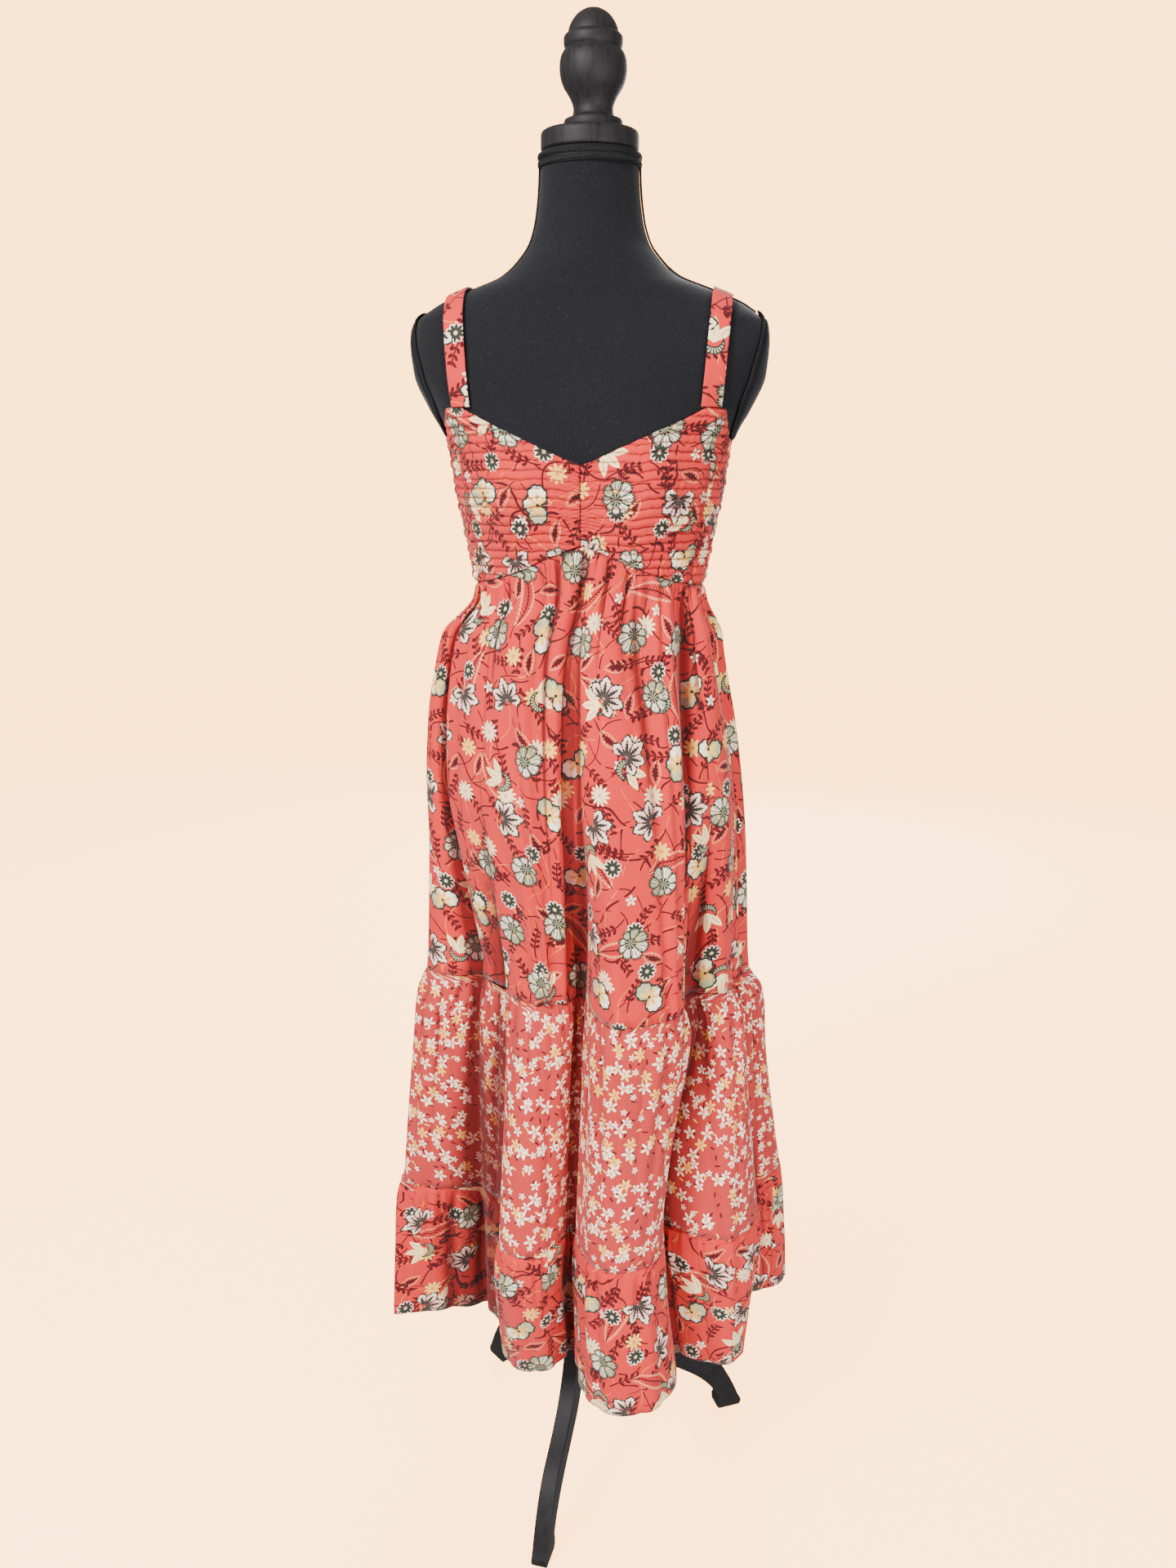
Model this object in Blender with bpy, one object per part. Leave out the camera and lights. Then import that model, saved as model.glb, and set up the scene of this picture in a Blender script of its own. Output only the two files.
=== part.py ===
"""Construction solids of a three-tier dress on a limbless dress form.

Metres, Z up.  The front of the dress faces -Y, the pole stands on the origin
and the torso's own axis lies TORSO_Y behind it.
"""
import math
from collections import namedtuple

import bpy

TORSO_Y = 0.020
SEAM_GAP = 0.0003
CLOTH_WALL = 0.0015
BODICE_CLEAR = 0.0015
SKIRT_CLEAR = 0.0015
CHANNEL_RISE = 0.0009
CHANNEL_ROWS = 14

TORSO_COLUMNS = 48
TORSO_BOTTOM = 0.850
TORSO_TOP = 1.5995
BUST_RISE = 0.020
BUST_HEIGHT = 1.252
BUST_SPREAD = 0.072
BUST_WIDTH = 0.042
BUST_TALL = 0.048

Section = namedtuple("Section", "height half_width front back power")
TORSO_SECTIONS = [
    Section(0.850, 0.1500, 0.098, 0.112, 2.2),
    Section(0.900, 0.1560, 0.104, 0.122, 2.2),
    Section(0.950, 0.1520, 0.104, 0.118, 2.2),
    Section(1.000, 0.1360, 0.098, 0.104, 2.2),
    Section(1.060, 0.1190, 0.088, 0.090, 2.2),
    Section(1.110, 0.1200, 0.088, 0.090, 2.2),
    Section(1.165, 0.1275, 0.092, 0.094, 2.2),
    Section(1.219, 0.1375, 0.097, 0.098, 2.25),
    Section(1.255, 0.1450, 0.100, 0.100, 2.3),
    Section(1.290, 0.1495, 0.101, 0.102, 2.35),
    Section(1.315, 0.1560, 0.100, 0.103, 2.4),
    Section(1.343, 0.1715, 0.096, 0.102, 2.5),
    Section(1.377, 0.1855, 0.089, 0.099, 2.9),
    Section(1.411, 0.1880, 0.080, 0.093, 3.4),
    Section(1.430, 0.1855, 0.074, 0.088, 3.4),
    Section(1.446, 0.1675, 0.069, 0.083, 3.0),
    Section(1.461, 0.1345, 0.066, 0.078, 2.6),
    Section(1.477, 0.0945, 0.063, 0.072, 2.3),
    Section(1.494, 0.0750, 0.060, 0.066, 2.1),
    Section(1.512, 0.0625, 0.056, 0.060, 2.0),
    Section(1.535, 0.0560, 0.0540, 0.0560, 2.0),
    Section(1.565, 0.0525, 0.0520, 0.0530, 2.0),
    Section(1.600, 0.0510, 0.0510, 0.0510, 2.0),
]
TORSO_HEIGHTS = [
    0.850, 0.885, 0.940, 1.000, 1.060, 1.120, 1.165, 1.192, 1.216, 1.240,
    1.264, 1.284, 1.299, 1.313, 1.328, 1.345, 1.366, 1.388, 1.407, 1.422,
    1.432, 1.440, 1.448, 1.456, 1.463, 1.471, 1.482, 1.496, 1.514, 1.545,
    1.5995,
]

# Heights of the waist seam and the bodice's top edge, by degrees from the centre front.
EdgePoint = namedtuple("EdgePoint", "away height")
WAIST_SEAM = [
    EdgePoint(0, 1.202), EdgePoint(12, 1.190), EdgePoint(25, 1.177),
    EdgePoint(40, 1.166), EdgePoint(60, 1.158), EdgePoint(90, 1.153),
    EdgePoint(180, 1.150),
]
NECK_EDGE = [
    EdgePoint(0, 1.285), EdgePoint(10, 1.2985), EdgePoint(20, 1.3115),
    EdgePoint(30, 1.3245), EdgePoint(38, 1.3350), EdgePoint(44.5, 1.3430),
    EdgePoint(54, 1.3430), EdgePoint(62, 1.3310), EdgePoint(75, 1.3120),
    EdgePoint(90, 1.3025), EdgePoint(110, 1.2970), EdgePoint(180, 1.2950),
]

Panel = namedtuple("Panel", "name start stop columns")
BODICE_PANELS = [
    Panel("bodice_front_left", 270.0, 330.0, 8),
    Panel("bodice_side_left", 330.0, 360.0, 4),
    Panel("bodice_back", 0.0, 180.0, 24),
    Panel("bodice_side_right", 180.0, 210.0, 4),
    Panel("bodice_front_right", 210.0, 270.0, 8),
]

# Rings that the hanging skirt passes, measured before its flutes are cut in.
SkirtRing = namedtuple("SkirtRing", "height half_width front back flute shift")
SKIRT_RINGS = [
    SkirtRing(1.175, 0.1310, 0.0965, 0.0975, 0.00, 0.000),
    SkirtRing(1.138, 0.1365, 0.1020, 0.1030, 0.03, -0.003),
    SkirtRing(1.108, 0.1480, 0.1110, 0.1110, 0.06, -0.008),
    SkirtRing(1.071, 0.1585, 0.1200, 0.1190, 0.10, -0.011),
    SkirtRing(1.032, 0.1675, 0.1280, 0.1270, 0.15, -0.011),
    SkirtRing(0.993, 0.1745, 0.1350, 0.1340, 0.20, -0.010),
    SkirtRing(0.914, 0.1835, 0.1480, 0.1480, 0.30, -0.007),
    SkirtRing(0.853, 0.1870, 0.1540, 0.1540, 0.48, -0.004),
    SkirtRing(0.790, 0.1905, 0.1590, 0.1580, 0.70, -0.003),
    SkirtRing(0.682, 0.1970, 0.1660, 0.1640, 1.00, -0.002),
    SkirtRing(0.652, 0.2085, 0.1780, 0.1740, 1.00, 0.001),
    SkirtRing(0.550, 0.2240, 0.1960, 0.1900, 1.00, 0.000),
    SkirtRing(0.406, 0.2420, 0.2250, 0.2150, 1.00, 0.000),
    SkirtRing(0.289, 0.2550, 0.2360, 0.2200, 1.00, 0.000),
    SkirtRing(0.222, 0.2580, 0.2400, 0.2220, 1.00, 0.000),
]

TIER_TOP_SEAM = 0.682
TIER_LOW_SEAM = 0.406
HEM = 0.222
WAIST_BLEND = 0.060

# Flutes all round, at the two tier seams and at the hem: the bearings where a valley
# starts and ends, the share of the plain ring it reaches, then the lobe after it.
Flute = namedtuple("Flute", "valley_from valley_to valley_reach lobe lobe_reach")
TOP_SEAM_FLUTES = [
    Flute(-13.0, -9.0, 0.90, 9.0, 1.00), Flute(31.5, 35.5, 0.90, 55.5, 0.99),
    Flute(75.5, 79.5, 0.86, 99.5, 1.03), Flute(121.5, 125.5, 0.88, 147.5, 0.97),
    Flute(169.5, 173.5, 0.93, 188.5, 1.00), Flute(201.5, 229.5, 0.68, 249.5, 0.77),
    Flute(267.5, 273.5, 0.55, 284.5, 1.09), Flute(317.5, 328.5, 0.78, 338.5, 0.93),
]
LOW_SEAM_FLUTES = [
    Flute(-13.5, -4.5, 0.84, 10.5, 1.02), Flute(31.5, 35.5, 0.84, 55.5, 1.00),
    Flute(75.5, 79.5, 0.76, 99.5, 1.00), Flute(121.5, 125.5, 0.79, 147.5, 0.99),
    Flute(169.5, 174.5, 0.86, 194.5, 0.985), Flute(207.5, 238.5, 0.60, 253.0, 0.95),
    Flute(265.5, 269.5, 0.64, 283.0, 1.02), Flute(304.5, 309.5, 0.66, 320.5, 1.00),
]
HEM_FLUTES = [
    Flute(-19.0, 1.5, 0.74, 14.5, 1.04), Flute(31.5, 35.5, 0.71, 55.5, 0.98),
    Flute(75.5, 79.5, 0.62, 99.5, 0.95), Flute(121.5, 125.5, 0.66, 147.5, 0.98),
    Flute(169.5, 174.5, 0.76, 199.5, 1.01), Flute(201.5, 230.5, 0.54, 252.5, 0.745),
    Flute(264.5, 268.5, 0.53, 284.0, 1.00), Flute(309.5, 314.5, 0.68, 325.0, 0.91),
]
FLUTE_LEVELS = [(HEM, HEM_FLUTES), (TIER_LOW_SEAM, LOW_SEAM_FLUTES),
                (TIER_TOP_SEAM, TOP_SEAM_FLUTES)]
FLOOR_STEPS = 2
RISE_STEPS = 5
LOBE_FULLNESS = 0.90

Tier = namedtuple("Tier", "name bottom rows gather gather_reach")
TIERS = [
    Tier("tier_1", TIER_TOP_SEAM, 8, 0.0016, 0.110),
    Tier("tier_2", TIER_LOW_SEAM, 5, 0.0024, 0.090),
    Tier("tier_3", HEM, 4, 0.0024, 0.080),
]

CAP_PROFILE = [
    (0.0000, 1.6000), (0.0500, 1.6000), (0.0515, 1.6020), (0.0515, 1.6150),
    (0.0505, 1.6180), (0.0478, 1.6205), (0.0000, 1.6205),
]
FINIAL_PROFILE = [
    (0.0000, 1.6208), (0.0290, 1.6208), (0.0306, 1.6228), (0.0308, 1.6270),
    (0.0298, 1.6305), (0.0240, 1.6325), (0.0212, 1.6360), (0.0208, 1.6410),
    (0.0228, 1.6480), (0.0268, 1.6550), (0.0312, 1.6620), (0.0340, 1.6700),
    (0.0350, 1.6780), (0.0346, 1.6850), (0.0330, 1.6910), (0.0305, 1.6950),
    (0.0290, 1.6972), (0.0300, 1.6990), (0.0306, 1.7030), (0.0304, 1.7075),
    (0.0284, 1.7100), (0.0262, 1.7115), (0.0256, 1.7145), (0.0240, 1.7190),
    (0.0206, 1.7245), (0.0158, 1.7295), (0.0090, 1.7335), (0.0000, 1.7350),
]
FINIAL_OFFSET = 0.0035
HUB_PROFILE = [
    (0.0000, 0.1960), (0.0180, 0.1960), (0.0270, 0.2020), (0.0300, 0.2120),
    (0.0300, 0.3260), (0.0270, 0.3340), (0.0200, 0.3400), (0.0000, 0.3400),
]
POLE_RADIUS = 0.0125
POLE_BOTTOM = 0.3403
TURN_STEPS = 20

LEG_BOARD = 0.020
LEG_TOP_EDGE = [
    (0.0303, 0.318), (0.0440, 0.306), (0.0580, 0.266), (0.0710, 0.216), (0.0870, 0.170),
    (0.1100, 0.136), (0.1390, 0.112), (0.1680, 0.094), (0.1880, 0.074), (0.2020, 0.052),
    (0.2115, 0.032), (0.2180, 0.016), (0.2225, 0.006), (0.2200, 0.000),
]
LEG_LOW_EDGE = [
    (0.0303, 0.216), (0.0420, 0.188), (0.0570, 0.148), (0.0790, 0.117), (0.1080, 0.095),
    (0.1350, 0.077), (0.1550, 0.062), (0.1710, 0.046), (0.1825, 0.030), (0.1870, 0.020),
    (0.1850, 0.014), (0.1855, 0.006), (0.1890, 0.000),
]
Leg = namedtuple("Leg", "name angle")
LEGS = [Leg("leg_front", 260.0), Leg("leg_left", 23.5), Leg("leg_right", 134.0)]

PLATE_HEIGHT = 1.373
PLATE_TALL = 0.064
PLATE_DEEP = 0.047
PLATE_RISE = 0.0055
PLATE_CLEAR = 0.0020
PLATE_STEPS = 20

STRAP_WIDTH = 0.0200
STRAP_WALL = 0.0020
STRAP_CLEAR = 0.0016
STRAP_STEPS = 24
STRAP_CENTRE_HEIGHT = 1.345
# The strap's middle line: turn about the shoulder in degrees and distance from the axis.
StrapPoint = namedtuple("StrapPoint", "turn offset")
STRAP_LINE = [
    StrapPoint(-3, 0.1315), StrapPoint(35, 0.1370), StrapPoint(60, 0.1405),
    StrapPoint(90, 0.1415), StrapPoint(120, 0.1380), StrapPoint(150, 0.1270),
    StrapPoint(180, 0.1130), StrapPoint(210, 0.1020),
]


def read_curve(xs, ys, x):
    """Read a smooth curve that never swings past its own points."""
    if x <= xs[0]:
        return ys[0]
    if x >= xs[-1]:
        return ys[-1]
    slopes = [(ys[i + 1] - ys[i]) / (xs[i + 1] - xs[i]) for i in range(len(xs) - 1)]
    i = max(k for k in range(len(xs) - 1) if xs[k] <= x)

    def tangent(k):
        if k == 0 or k == len(xs) - 1:
            return slopes[0] if k == 0 else slopes[-1]
        if slopes[k - 1] * slopes[k] <= 0.0:
            return 0.0
        return 2.0 * slopes[k - 1] * slopes[k] / (slopes[k - 1] + slopes[k])

    h = xs[i + 1] - xs[i]
    t = (x - xs[i]) / h
    return ((1 + 2 * t) * (1 - t) ** 2 * ys[i] + t * (1 - t) ** 2 * h * tangent(i)
            + t * t * (3 - 2 * t) * ys[i + 1] + t * t * (t - 1) * h * tangent(i + 1))


def column(rows, field):
    """One named column of a table."""
    return [getattr(row, field) for row in rows]


def minus(a, b):
    return (a[0] - b[0], a[1] - b[1], a[2] - b[2])


def moved(point, direction, amount):
    return tuple(point[k] + direction[k] * amount for k in range(3))


def cross(a, b):
    return (a[1] * b[2] - a[2] * b[1], a[2] * b[0] - a[0] * b[2], a[0] * b[1] - a[1] * b[0])


def unit(a):
    size = math.sqrt(a[0] ** 2 + a[1] ** 2 + a[2] ** 2) or 1.0
    return (a[0] / size, a[1] / size, a[2] / size)


def signed_volume(verts, faces):
    """Volume that the faces enclose, negative where they face inwards."""
    total = 0.0
    for face in faces:
        a = verts[face[0]]
        for k in range(1, len(face) - 1):
            b, c = verts[face[k]], verts[face[k + 1]]
            n = cross(b, c)
            total += a[0] * n[0] + a[1] * n[1] + a[2] * n[2]
    return total / 6.0


def add_solid(name, verts, faces):
    """Make one closed object whose faces look outwards."""
    if signed_volume(verts, faces) < 0.0:
        faces = [tuple(reversed(face)) for face in faces]
    mesh = bpy.data.meshes.new(name)
    mesh.from_pydata(verts, [], faces)
    mesh.update()
    item = bpy.data.objects.new(name, mesh)
    bpy.context.scene.collection.objects.link(item)
    return item


def add_loft(name, rings):
    """Close a stack of rings with a flat cap at each end."""
    count = len(rings[0])
    verts = [point for ring in rings for point in ring]
    faces = [tuple(range(count))[::-1]]
    for i in range(len(rings) - 1):
        for j in range(count):
            k = (j + 1) % count
            faces.append((i * count + j, i * count + k, (i + 1) * count + k, (i + 1) * count + j))
    faces.append(tuple((len(rings) - 1) * count + j for j in range(count)))
    return add_solid(name, verts, faces)


def add_shell(name, outer, inner):
    """Close two open grids of the same size into one sheet with a wall."""
    rows, cols = len(outer), len(outer[0])
    verts = [p for row in outer for p in row] + [p for row in inner for p in row]
    base = rows * cols
    faces = []
    for i in range(rows - 1):
        for j in range(cols - 1):
            a, b = i * cols + j, i * cols + j + 1
            c, d = (i + 1) * cols + j + 1, (i + 1) * cols + j
            faces.append((a, b, c, d))
            faces.append((base + d, base + c, base + b, base + a))
    for j in range(cols - 1):
        faces.append((j + 1, j, base + j, base + j + 1))
        top = (rows - 1) * cols
        faces.append((top + j, top + j + 1, base + top + j + 1, base + top + j))
    for i in range(rows - 1):
        a, b = i * cols, (i + 1) * cols
        faces.append((a, b, base + b, base + a))
        a, b = a + cols - 1, b + cols - 1
        faces.append((b, a, base + a, base + b))
    return add_solid(name, verts, faces)


def add_turned(name, profile, x, y, steps=TURN_STEPS):
    """Turn a profile that starts and ends on the axis."""
    verts = [(x, y, profile[0][1])]
    rings = profile[1:-1]
    for radius, height in rings:
        for k in range(steps):
            angle = 2 * math.pi * k / steps
            verts.append((x + radius * math.cos(angle), y + radius * math.sin(angle), height))
    verts.append((x, y, profile[-1][1]))
    last = len(verts) - 1
    faces = []
    for k in range(steps):
        n = (k + 1) % steps
        faces.append((0, 1 + n, 1 + k))
        for i in range(len(rings) - 1):
            a, b = 1 + i * steps, 1 + (i + 1) * steps
            faces.append((a + k, a + n, b + n, b + k))
        a = 1 + (len(rings) - 1) * steps
        faces.append((a + k, a + n, last))
    return add_solid(name, verts, faces)


def grid_normals(grid, closed=False):
    """Outward directions of a grid whose columns run anticlockwise from above."""
    rows, cols = len(grid), len(grid[0])
    result = []
    for i in range(rows):
        line = []
        for j in range(cols):
            after = (j + 1) % cols if closed else min(j + 1, cols - 1)
            before = (j - 1) % cols if closed else max(j - 1, 0)
            along = minus(grid[i][after], grid[i][before])
            up = minus(grid[min(i + 1, rows - 1)][j], grid[max(i - 1, 0)][j])
            line.append(unit(cross(along, up)))
        result.append(line)
    return result


def torso_size(height):
    """Half width, front depth, back depth and roundness at a height."""
    heights = column(TORSO_SECTIONS, "height")
    return tuple(read_curve(heights, column(TORSO_SECTIONS, field), height)
                 for field in ("half_width", "front", "back", "power"))


def bust_rise(x, height):
    """How far the bust stands in front of the plain section."""
    side = (abs(x) - BUST_SPREAD) / BUST_WIDTH
    level = (height - BUST_HEIGHT) / BUST_TALL
    return BUST_RISE * math.exp(-side * side - level * level)


def torso_point(degrees, height):
    """A point of the bare torso."""
    half_width, front, back, power = torso_size(height)
    c, s = math.cos(math.radians(degrees)), math.sin(math.radians(degrees))
    x = half_width * math.copysign(abs(c) ** (2.0 / power), c)
    depth = front if s < 0.0 else back
    y = depth * math.copysign(abs(s) ** (2.0 / power), s)
    if s < 0.0:
        y -= bust_rise(x, height) * min(1.0, 3.0 * abs(s))
    return (x, TORSO_Y + y, height)


def torso_outwards(degrees, height):
    """Outward direction of the bare torso."""
    along = minus(torso_point(degrees + 0.5, height), torso_point(degrees - 0.5, height))
    up = minus(torso_point(degrees, height + 0.001), torso_point(degrees, height - 0.001))
    return unit(cross(along, up))


def off_torso(degrees, height, lift, level=False):
    """A point that stands clear of the torso, at the same height if level."""
    out = torso_outwards(degrees, height)
    if level:
        out = unit((out[0], out[1], 0.0))
    return moved(torso_point(degrees, height), out, lift)


def away_from_front(degrees):
    """Degrees between a bearing and the centre front."""
    return abs((degrees - 270.0 + 180.0) % 360.0 - 180.0)


def edge_height(rows, degrees):
    return read_curve(column(rows, "away"), column(rows, "height"), away_from_front(degrees))


def waist_height(degrees):
    """The waist seam as the bodice's straight-edged columns draw it."""
    step = 360.0 / TORSO_COLUMNS
    low = math.floor(degrees / step) * step
    share = (degrees - low) / step
    return (edge_height(WAIST_SEAM, low) * (1.0 - share)
            + edge_height(WAIST_SEAM, low + step) * share)


def build_torso():
    rings = []
    for height in TORSO_HEIGHTS:
        rings.append([torso_point(360.0 * k / TORSO_COLUMNS, height)
                      for k in range(TORSO_COLUMNS)])
    add_loft("form_torso", rings)


def build_neck_trim():
    """Braid under the cap, then the cap and its finial."""
    rows = [(1.5860, 0.0010), (1.5860, 0.0022), (1.5885, 0.0032), (1.5950, 0.0032),
            (1.5975, 0.0022), (1.5975, 0.0010)]
    count = 24
    verts = []
    for height, lift in rows:
        for k in range(count):
            verts.append(off_torso(360.0 * k / count, height, lift))
    faces = []
    for i in range(len(rows)):
        a, b = i * count, ((i + 1) % len(rows)) * count
        for k in range(count):
            n = (k + 1) % count
            faces.append((a + k, a + n, b + n, b + k))
    add_solid("form_neck_braid", verts, faces)
    add_turned("form_neck_cap", CAP_PROFILE, 0.0, TORSO_Y)
    add_turned("form_finial", FINIAL_PROFILE, FINIAL_OFFSET, TORSO_Y)


def side_point(y, height, side, lift):
    """A point of the torso's side wall, moved out sideways."""
    half_width, front, back, power = torso_size(height)
    depth = front if y < 0.0 else back
    share = max(0.0, 1.0 - (abs(y) / depth) ** power)
    return (side * (half_width * share ** (1.0 / power) + lift), TORSO_Y + y, height)


def build_arm_plate(name, side):
    """The covered oval plate that closes the torso at the arm."""
    outer, inner = [], []
    rings = [(0.30, PLATE_RISE), (0.62, PLATE_RISE), (0.90, PLATE_RISE * 0.95),
             (1.00, PLATE_RISE * 0.55)]
    for share, rise in rings:
        for grid, lift in ((outer, rise), (inner, PLATE_CLEAR)):
            ring = []
            for k in range(PLATE_STEPS):
                turn = 2 * math.pi * k / PLATE_STEPS
                y = share * PLATE_DEEP * math.cos(turn)
                height = PLATE_HEIGHT + share * PLATE_TALL * math.sin(turn)
                ring.append(side_point(y, height, side, lift))
            grid.append(ring)
    centre_out = side_point(0.0, PLATE_HEIGHT, side, PLATE_RISE)
    centre_in = side_point(0.0, PLATE_HEIGHT, side, PLATE_CLEAR)
    verts = [centre_out] + [p for ring in outer for p in ring]
    base = len(verts)
    verts += [centre_in] + [p for ring in inner for p in ring]
    faces = []
    last = 1 + (len(rings) - 1) * PLATE_STEPS
    for k in range(PLATE_STEPS):
        n = (k + 1) % PLATE_STEPS
        faces.append((0, 1 + k, 1 + n))
        faces.append((base, base + 1 + n, base + 1 + k))
        for i in range(len(rings) - 1):
            a, b = 1 + i * PLATE_STEPS, 1 + (i + 1) * PLATE_STEPS
            faces.append((a + k, b + k, b + n, a + n))
            faces.append((base + a + n, base + b + n, base + b + k, base + a + k))
        faces.append((last + k, base + last + k, base + last + n, last + n))
    add_solid(name, verts, faces)


def build_bodice():
    """Bodice panels: a plain inside and stitched channels outside."""
    for panel in BODICE_PANELS:
        outer, inner = [], []
        trim = math.degrees(SEAM_GAP / 2 / 0.11)
        start, stop = panel.start + trim, panel.stop - trim
        for i in range(CHANNEL_ROWS + 1):
            share = i / CHANNEL_ROWS
            rise = CHANNEL_RISE if i % 2 else 0.0
            out_row, in_row = [], []
            for j in range(panel.columns + 1):
                degrees = start + (stop - start) * j / panel.columns
                low = edge_height(WAIST_SEAM, degrees) + SEAM_GAP
                high = edge_height(NECK_EDGE, degrees)
                height = low + (high - low) * share
                level = i in (0, CHANNEL_ROWS)
                out_row.append(off_torso(degrees, height, BODICE_CLEAR + CLOTH_WALL + rise, level))
                in_row.append(off_torso(degrees, height, BODICE_CLEAR, level))
            outer.append(out_row)
            inner.append(in_row)
        add_shell(panel.name, outer, inner)


def inside_torso(x, y, height):
    half_width, front, back, power = torso_size(height)
    depth = front if y < 0.0 else back
    if y < 0.0:
        depth += bust_rise(x, height)
    return (abs(x) / half_width) ** power + (abs(y) / depth) ** power < 1.0


def shoulder_point(x, turn):
    """Where a ray in the plane x leaves the torso, turned up from the front."""
    c, s = math.cos(math.radians(turn)), math.sin(math.radians(turn))
    near, far = 0.0, 0.30
    for _ in range(40):
        middle = 0.5 * (near + far)
        height = STRAP_CENTRE_HEIGHT + middle * s
        if height < 1.59 and inside_torso(x, -middle * c, height):
            near = middle
        else:
            far = middle
    return (x, TORSO_Y - near * c, STRAP_CENTRE_HEIGHT + near * s)


def foot_turn(x, height, back):
    """The turn at which the torso's surface passes a height."""
    low, high = (90.0, 250.0) if back else (-60.0, 90.0)
    for _ in range(40):
        middle = 0.5 * (low + high)
        above = shoulder_point(x, middle)[2] > height
        if above == back:
            low = middle
        else:
            high = middle
    return 0.5 * (low + high)


def build_strap(name, side, inset):
    """A shoulder strap that follows the torso over the shoulder."""
    turns = column(STRAP_LINE, "turn")
    offsets = [offset - inset for offset in column(STRAP_LINE, "offset")]
    outer = []
    edges = (-0.5, -0.17, 0.17, 0.5)
    front_height = 1.3430 + SEAM_GAP * 2
    back_height = edge_height(NECK_EDGE, 140.0) + SEAM_GAP * 2
    for i in range(STRAP_STEPS + 1):
        row = []
        for edge in edges:
            share = i / STRAP_STEPS
            x_front = offsets[0] + edge * STRAP_WIDTH
            x_back = offsets[-1] + edge * STRAP_WIDTH
            first = foot_turn(x_front, front_height, False)
            final = foot_turn(x_back, back_height, True)
            turn = first + (final - first) * share
            guide = turns[0] + (turns[-1] - turns[0]) * share
            x = read_curve(turns, offsets, guide) + edge * STRAP_WIDTH
            x, y, z = shoulder_point(x, turn)
            row.append((side * x, y, z))
        outer.append(row)
    normals = grid_normals(outer)
    middle = normals[STRAP_STEPS // 2][1]
    sign = 1.0 if middle[2] > 0.0 else -1.0
    near = [[moved(p, n, sign * STRAP_CLEAR) for p, n in zip(row, line)]
            for row, line in zip(outer, normals)]
    far = [[moved(p, n, sign * (STRAP_CLEAR + STRAP_WALL)) for p, n in zip(row, line)]
           for row, line in zip(outer, normals)]
    for grid in (near, far):
        grid[0] = [(p[0], p[1], max(p[2], front_height)) for p in grid[0]]
        grid[-1] = [(p[0], p[1], max(p[2], back_height)) for p in grid[-1]]
    add_shell(name, far, near)


def flute_columns():
    """Columns around the skirt: the flute, the stretch of it and the share along that."""
    result = []
    for index in range(len(HEM_FLUTES)):
        result += [(index, "floor", k / FLOOR_STEPS) for k in range(FLOOR_STEPS)]
        result += [(index, "rise", k / RISE_STEPS) for k in range(RISE_STEPS)]
        result += [(index, "fall", 1.0 - k / RISE_STEPS) for k in range(RISE_STEPS)]
    return result


def flute_at(entry, height):
    """Bearing and reach of one column at a height."""
    index, stretch, t = entry
    levels, bearings, reaches = [], [], []
    for level, flutes in FLUTE_LEVELS:
        here = flutes[index]
        after = flutes[(index + 1) % len(flutes)]
        turn = 360.0 if index == len(flutes) - 1 else 0.0
        spread = 0.35 * t + 0.65 * t ** 1.6
        swell = math.sin(math.pi * t / 2.0) ** LOBE_FULLNESS
        if stretch == "floor":
            bearing = here.valley_from + (here.valley_to - here.valley_from) * t
            reach = here.valley_reach
        elif stretch == "rise":
            bearing = here.valley_to + (here.lobe - here.valley_to) * spread
            reach = here.valley_reach + (here.lobe_reach - here.valley_reach) * swell
        else:
            start = after.valley_from + turn
            bearing = start + (here.lobe - start) * spread
            reach = after.valley_reach + (here.lobe_reach - after.valley_reach) * swell
        levels.append(level)
        bearings.append(bearing)
        reaches.append(reach)
    rings = column(SKIRT_RINGS, "height")[::-1]
    depth = read_curve(rings, column(SKIRT_RINGS, "flute")[::-1], height)
    reach = read_curve(levels, reaches, height)
    return read_curve(levels, bearings, height), 1.0 + (reach - 1.0) * depth


def skirt_point(entry, height, gather):
    """A point of the skirt's outer face, with its bearing."""
    levels = column(SKIRT_RINGS, "height")[::-1]
    half_width, front, back, shift = (
        read_curve(levels, column(SKIRT_RINGS, field)[::-1], height)
        for field in ("half_width", "front", "back", "shift"))
    degrees, reach = flute_at(entry, height)
    c, s = math.cos(math.radians(degrees)), math.sin(math.radians(degrees))
    depth = front if s < 0.0 else back
    x, y = half_width * c * reach, depth * s * reach
    size = math.hypot(x, y)
    x, y = x * (1 + gather / size), y * (1 + gather / size)
    return (x + shift, TORSO_Y + y, height), degrees


def clear_of_torso(point, degrees, height, drop):
    """Lay the cloth on the torso at the waist seam and keep it clear below."""
    if height < TORSO_BOTTOM:
        return point
    bare = off_torso(degrees % 360.0, height, SKIRT_CLEAR + CLOTH_WALL, True)
    t = min(1.0, max(0.0, drop / WAIST_BLEND))
    t = t * t * (3.0 - 2.0 * t)
    x = bare[0] + (point[0] - bare[0]) * t
    y = bare[1] + (point[1] - bare[1]) * t
    size = math.hypot(x, y - TORSO_Y)
    least = math.hypot(bare[0], bare[1] - TORSO_Y)
    grow = max(1.0, least / size)
    return (x * grow, TORSO_Y + (y - TORSO_Y) * grow, height)


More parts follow.
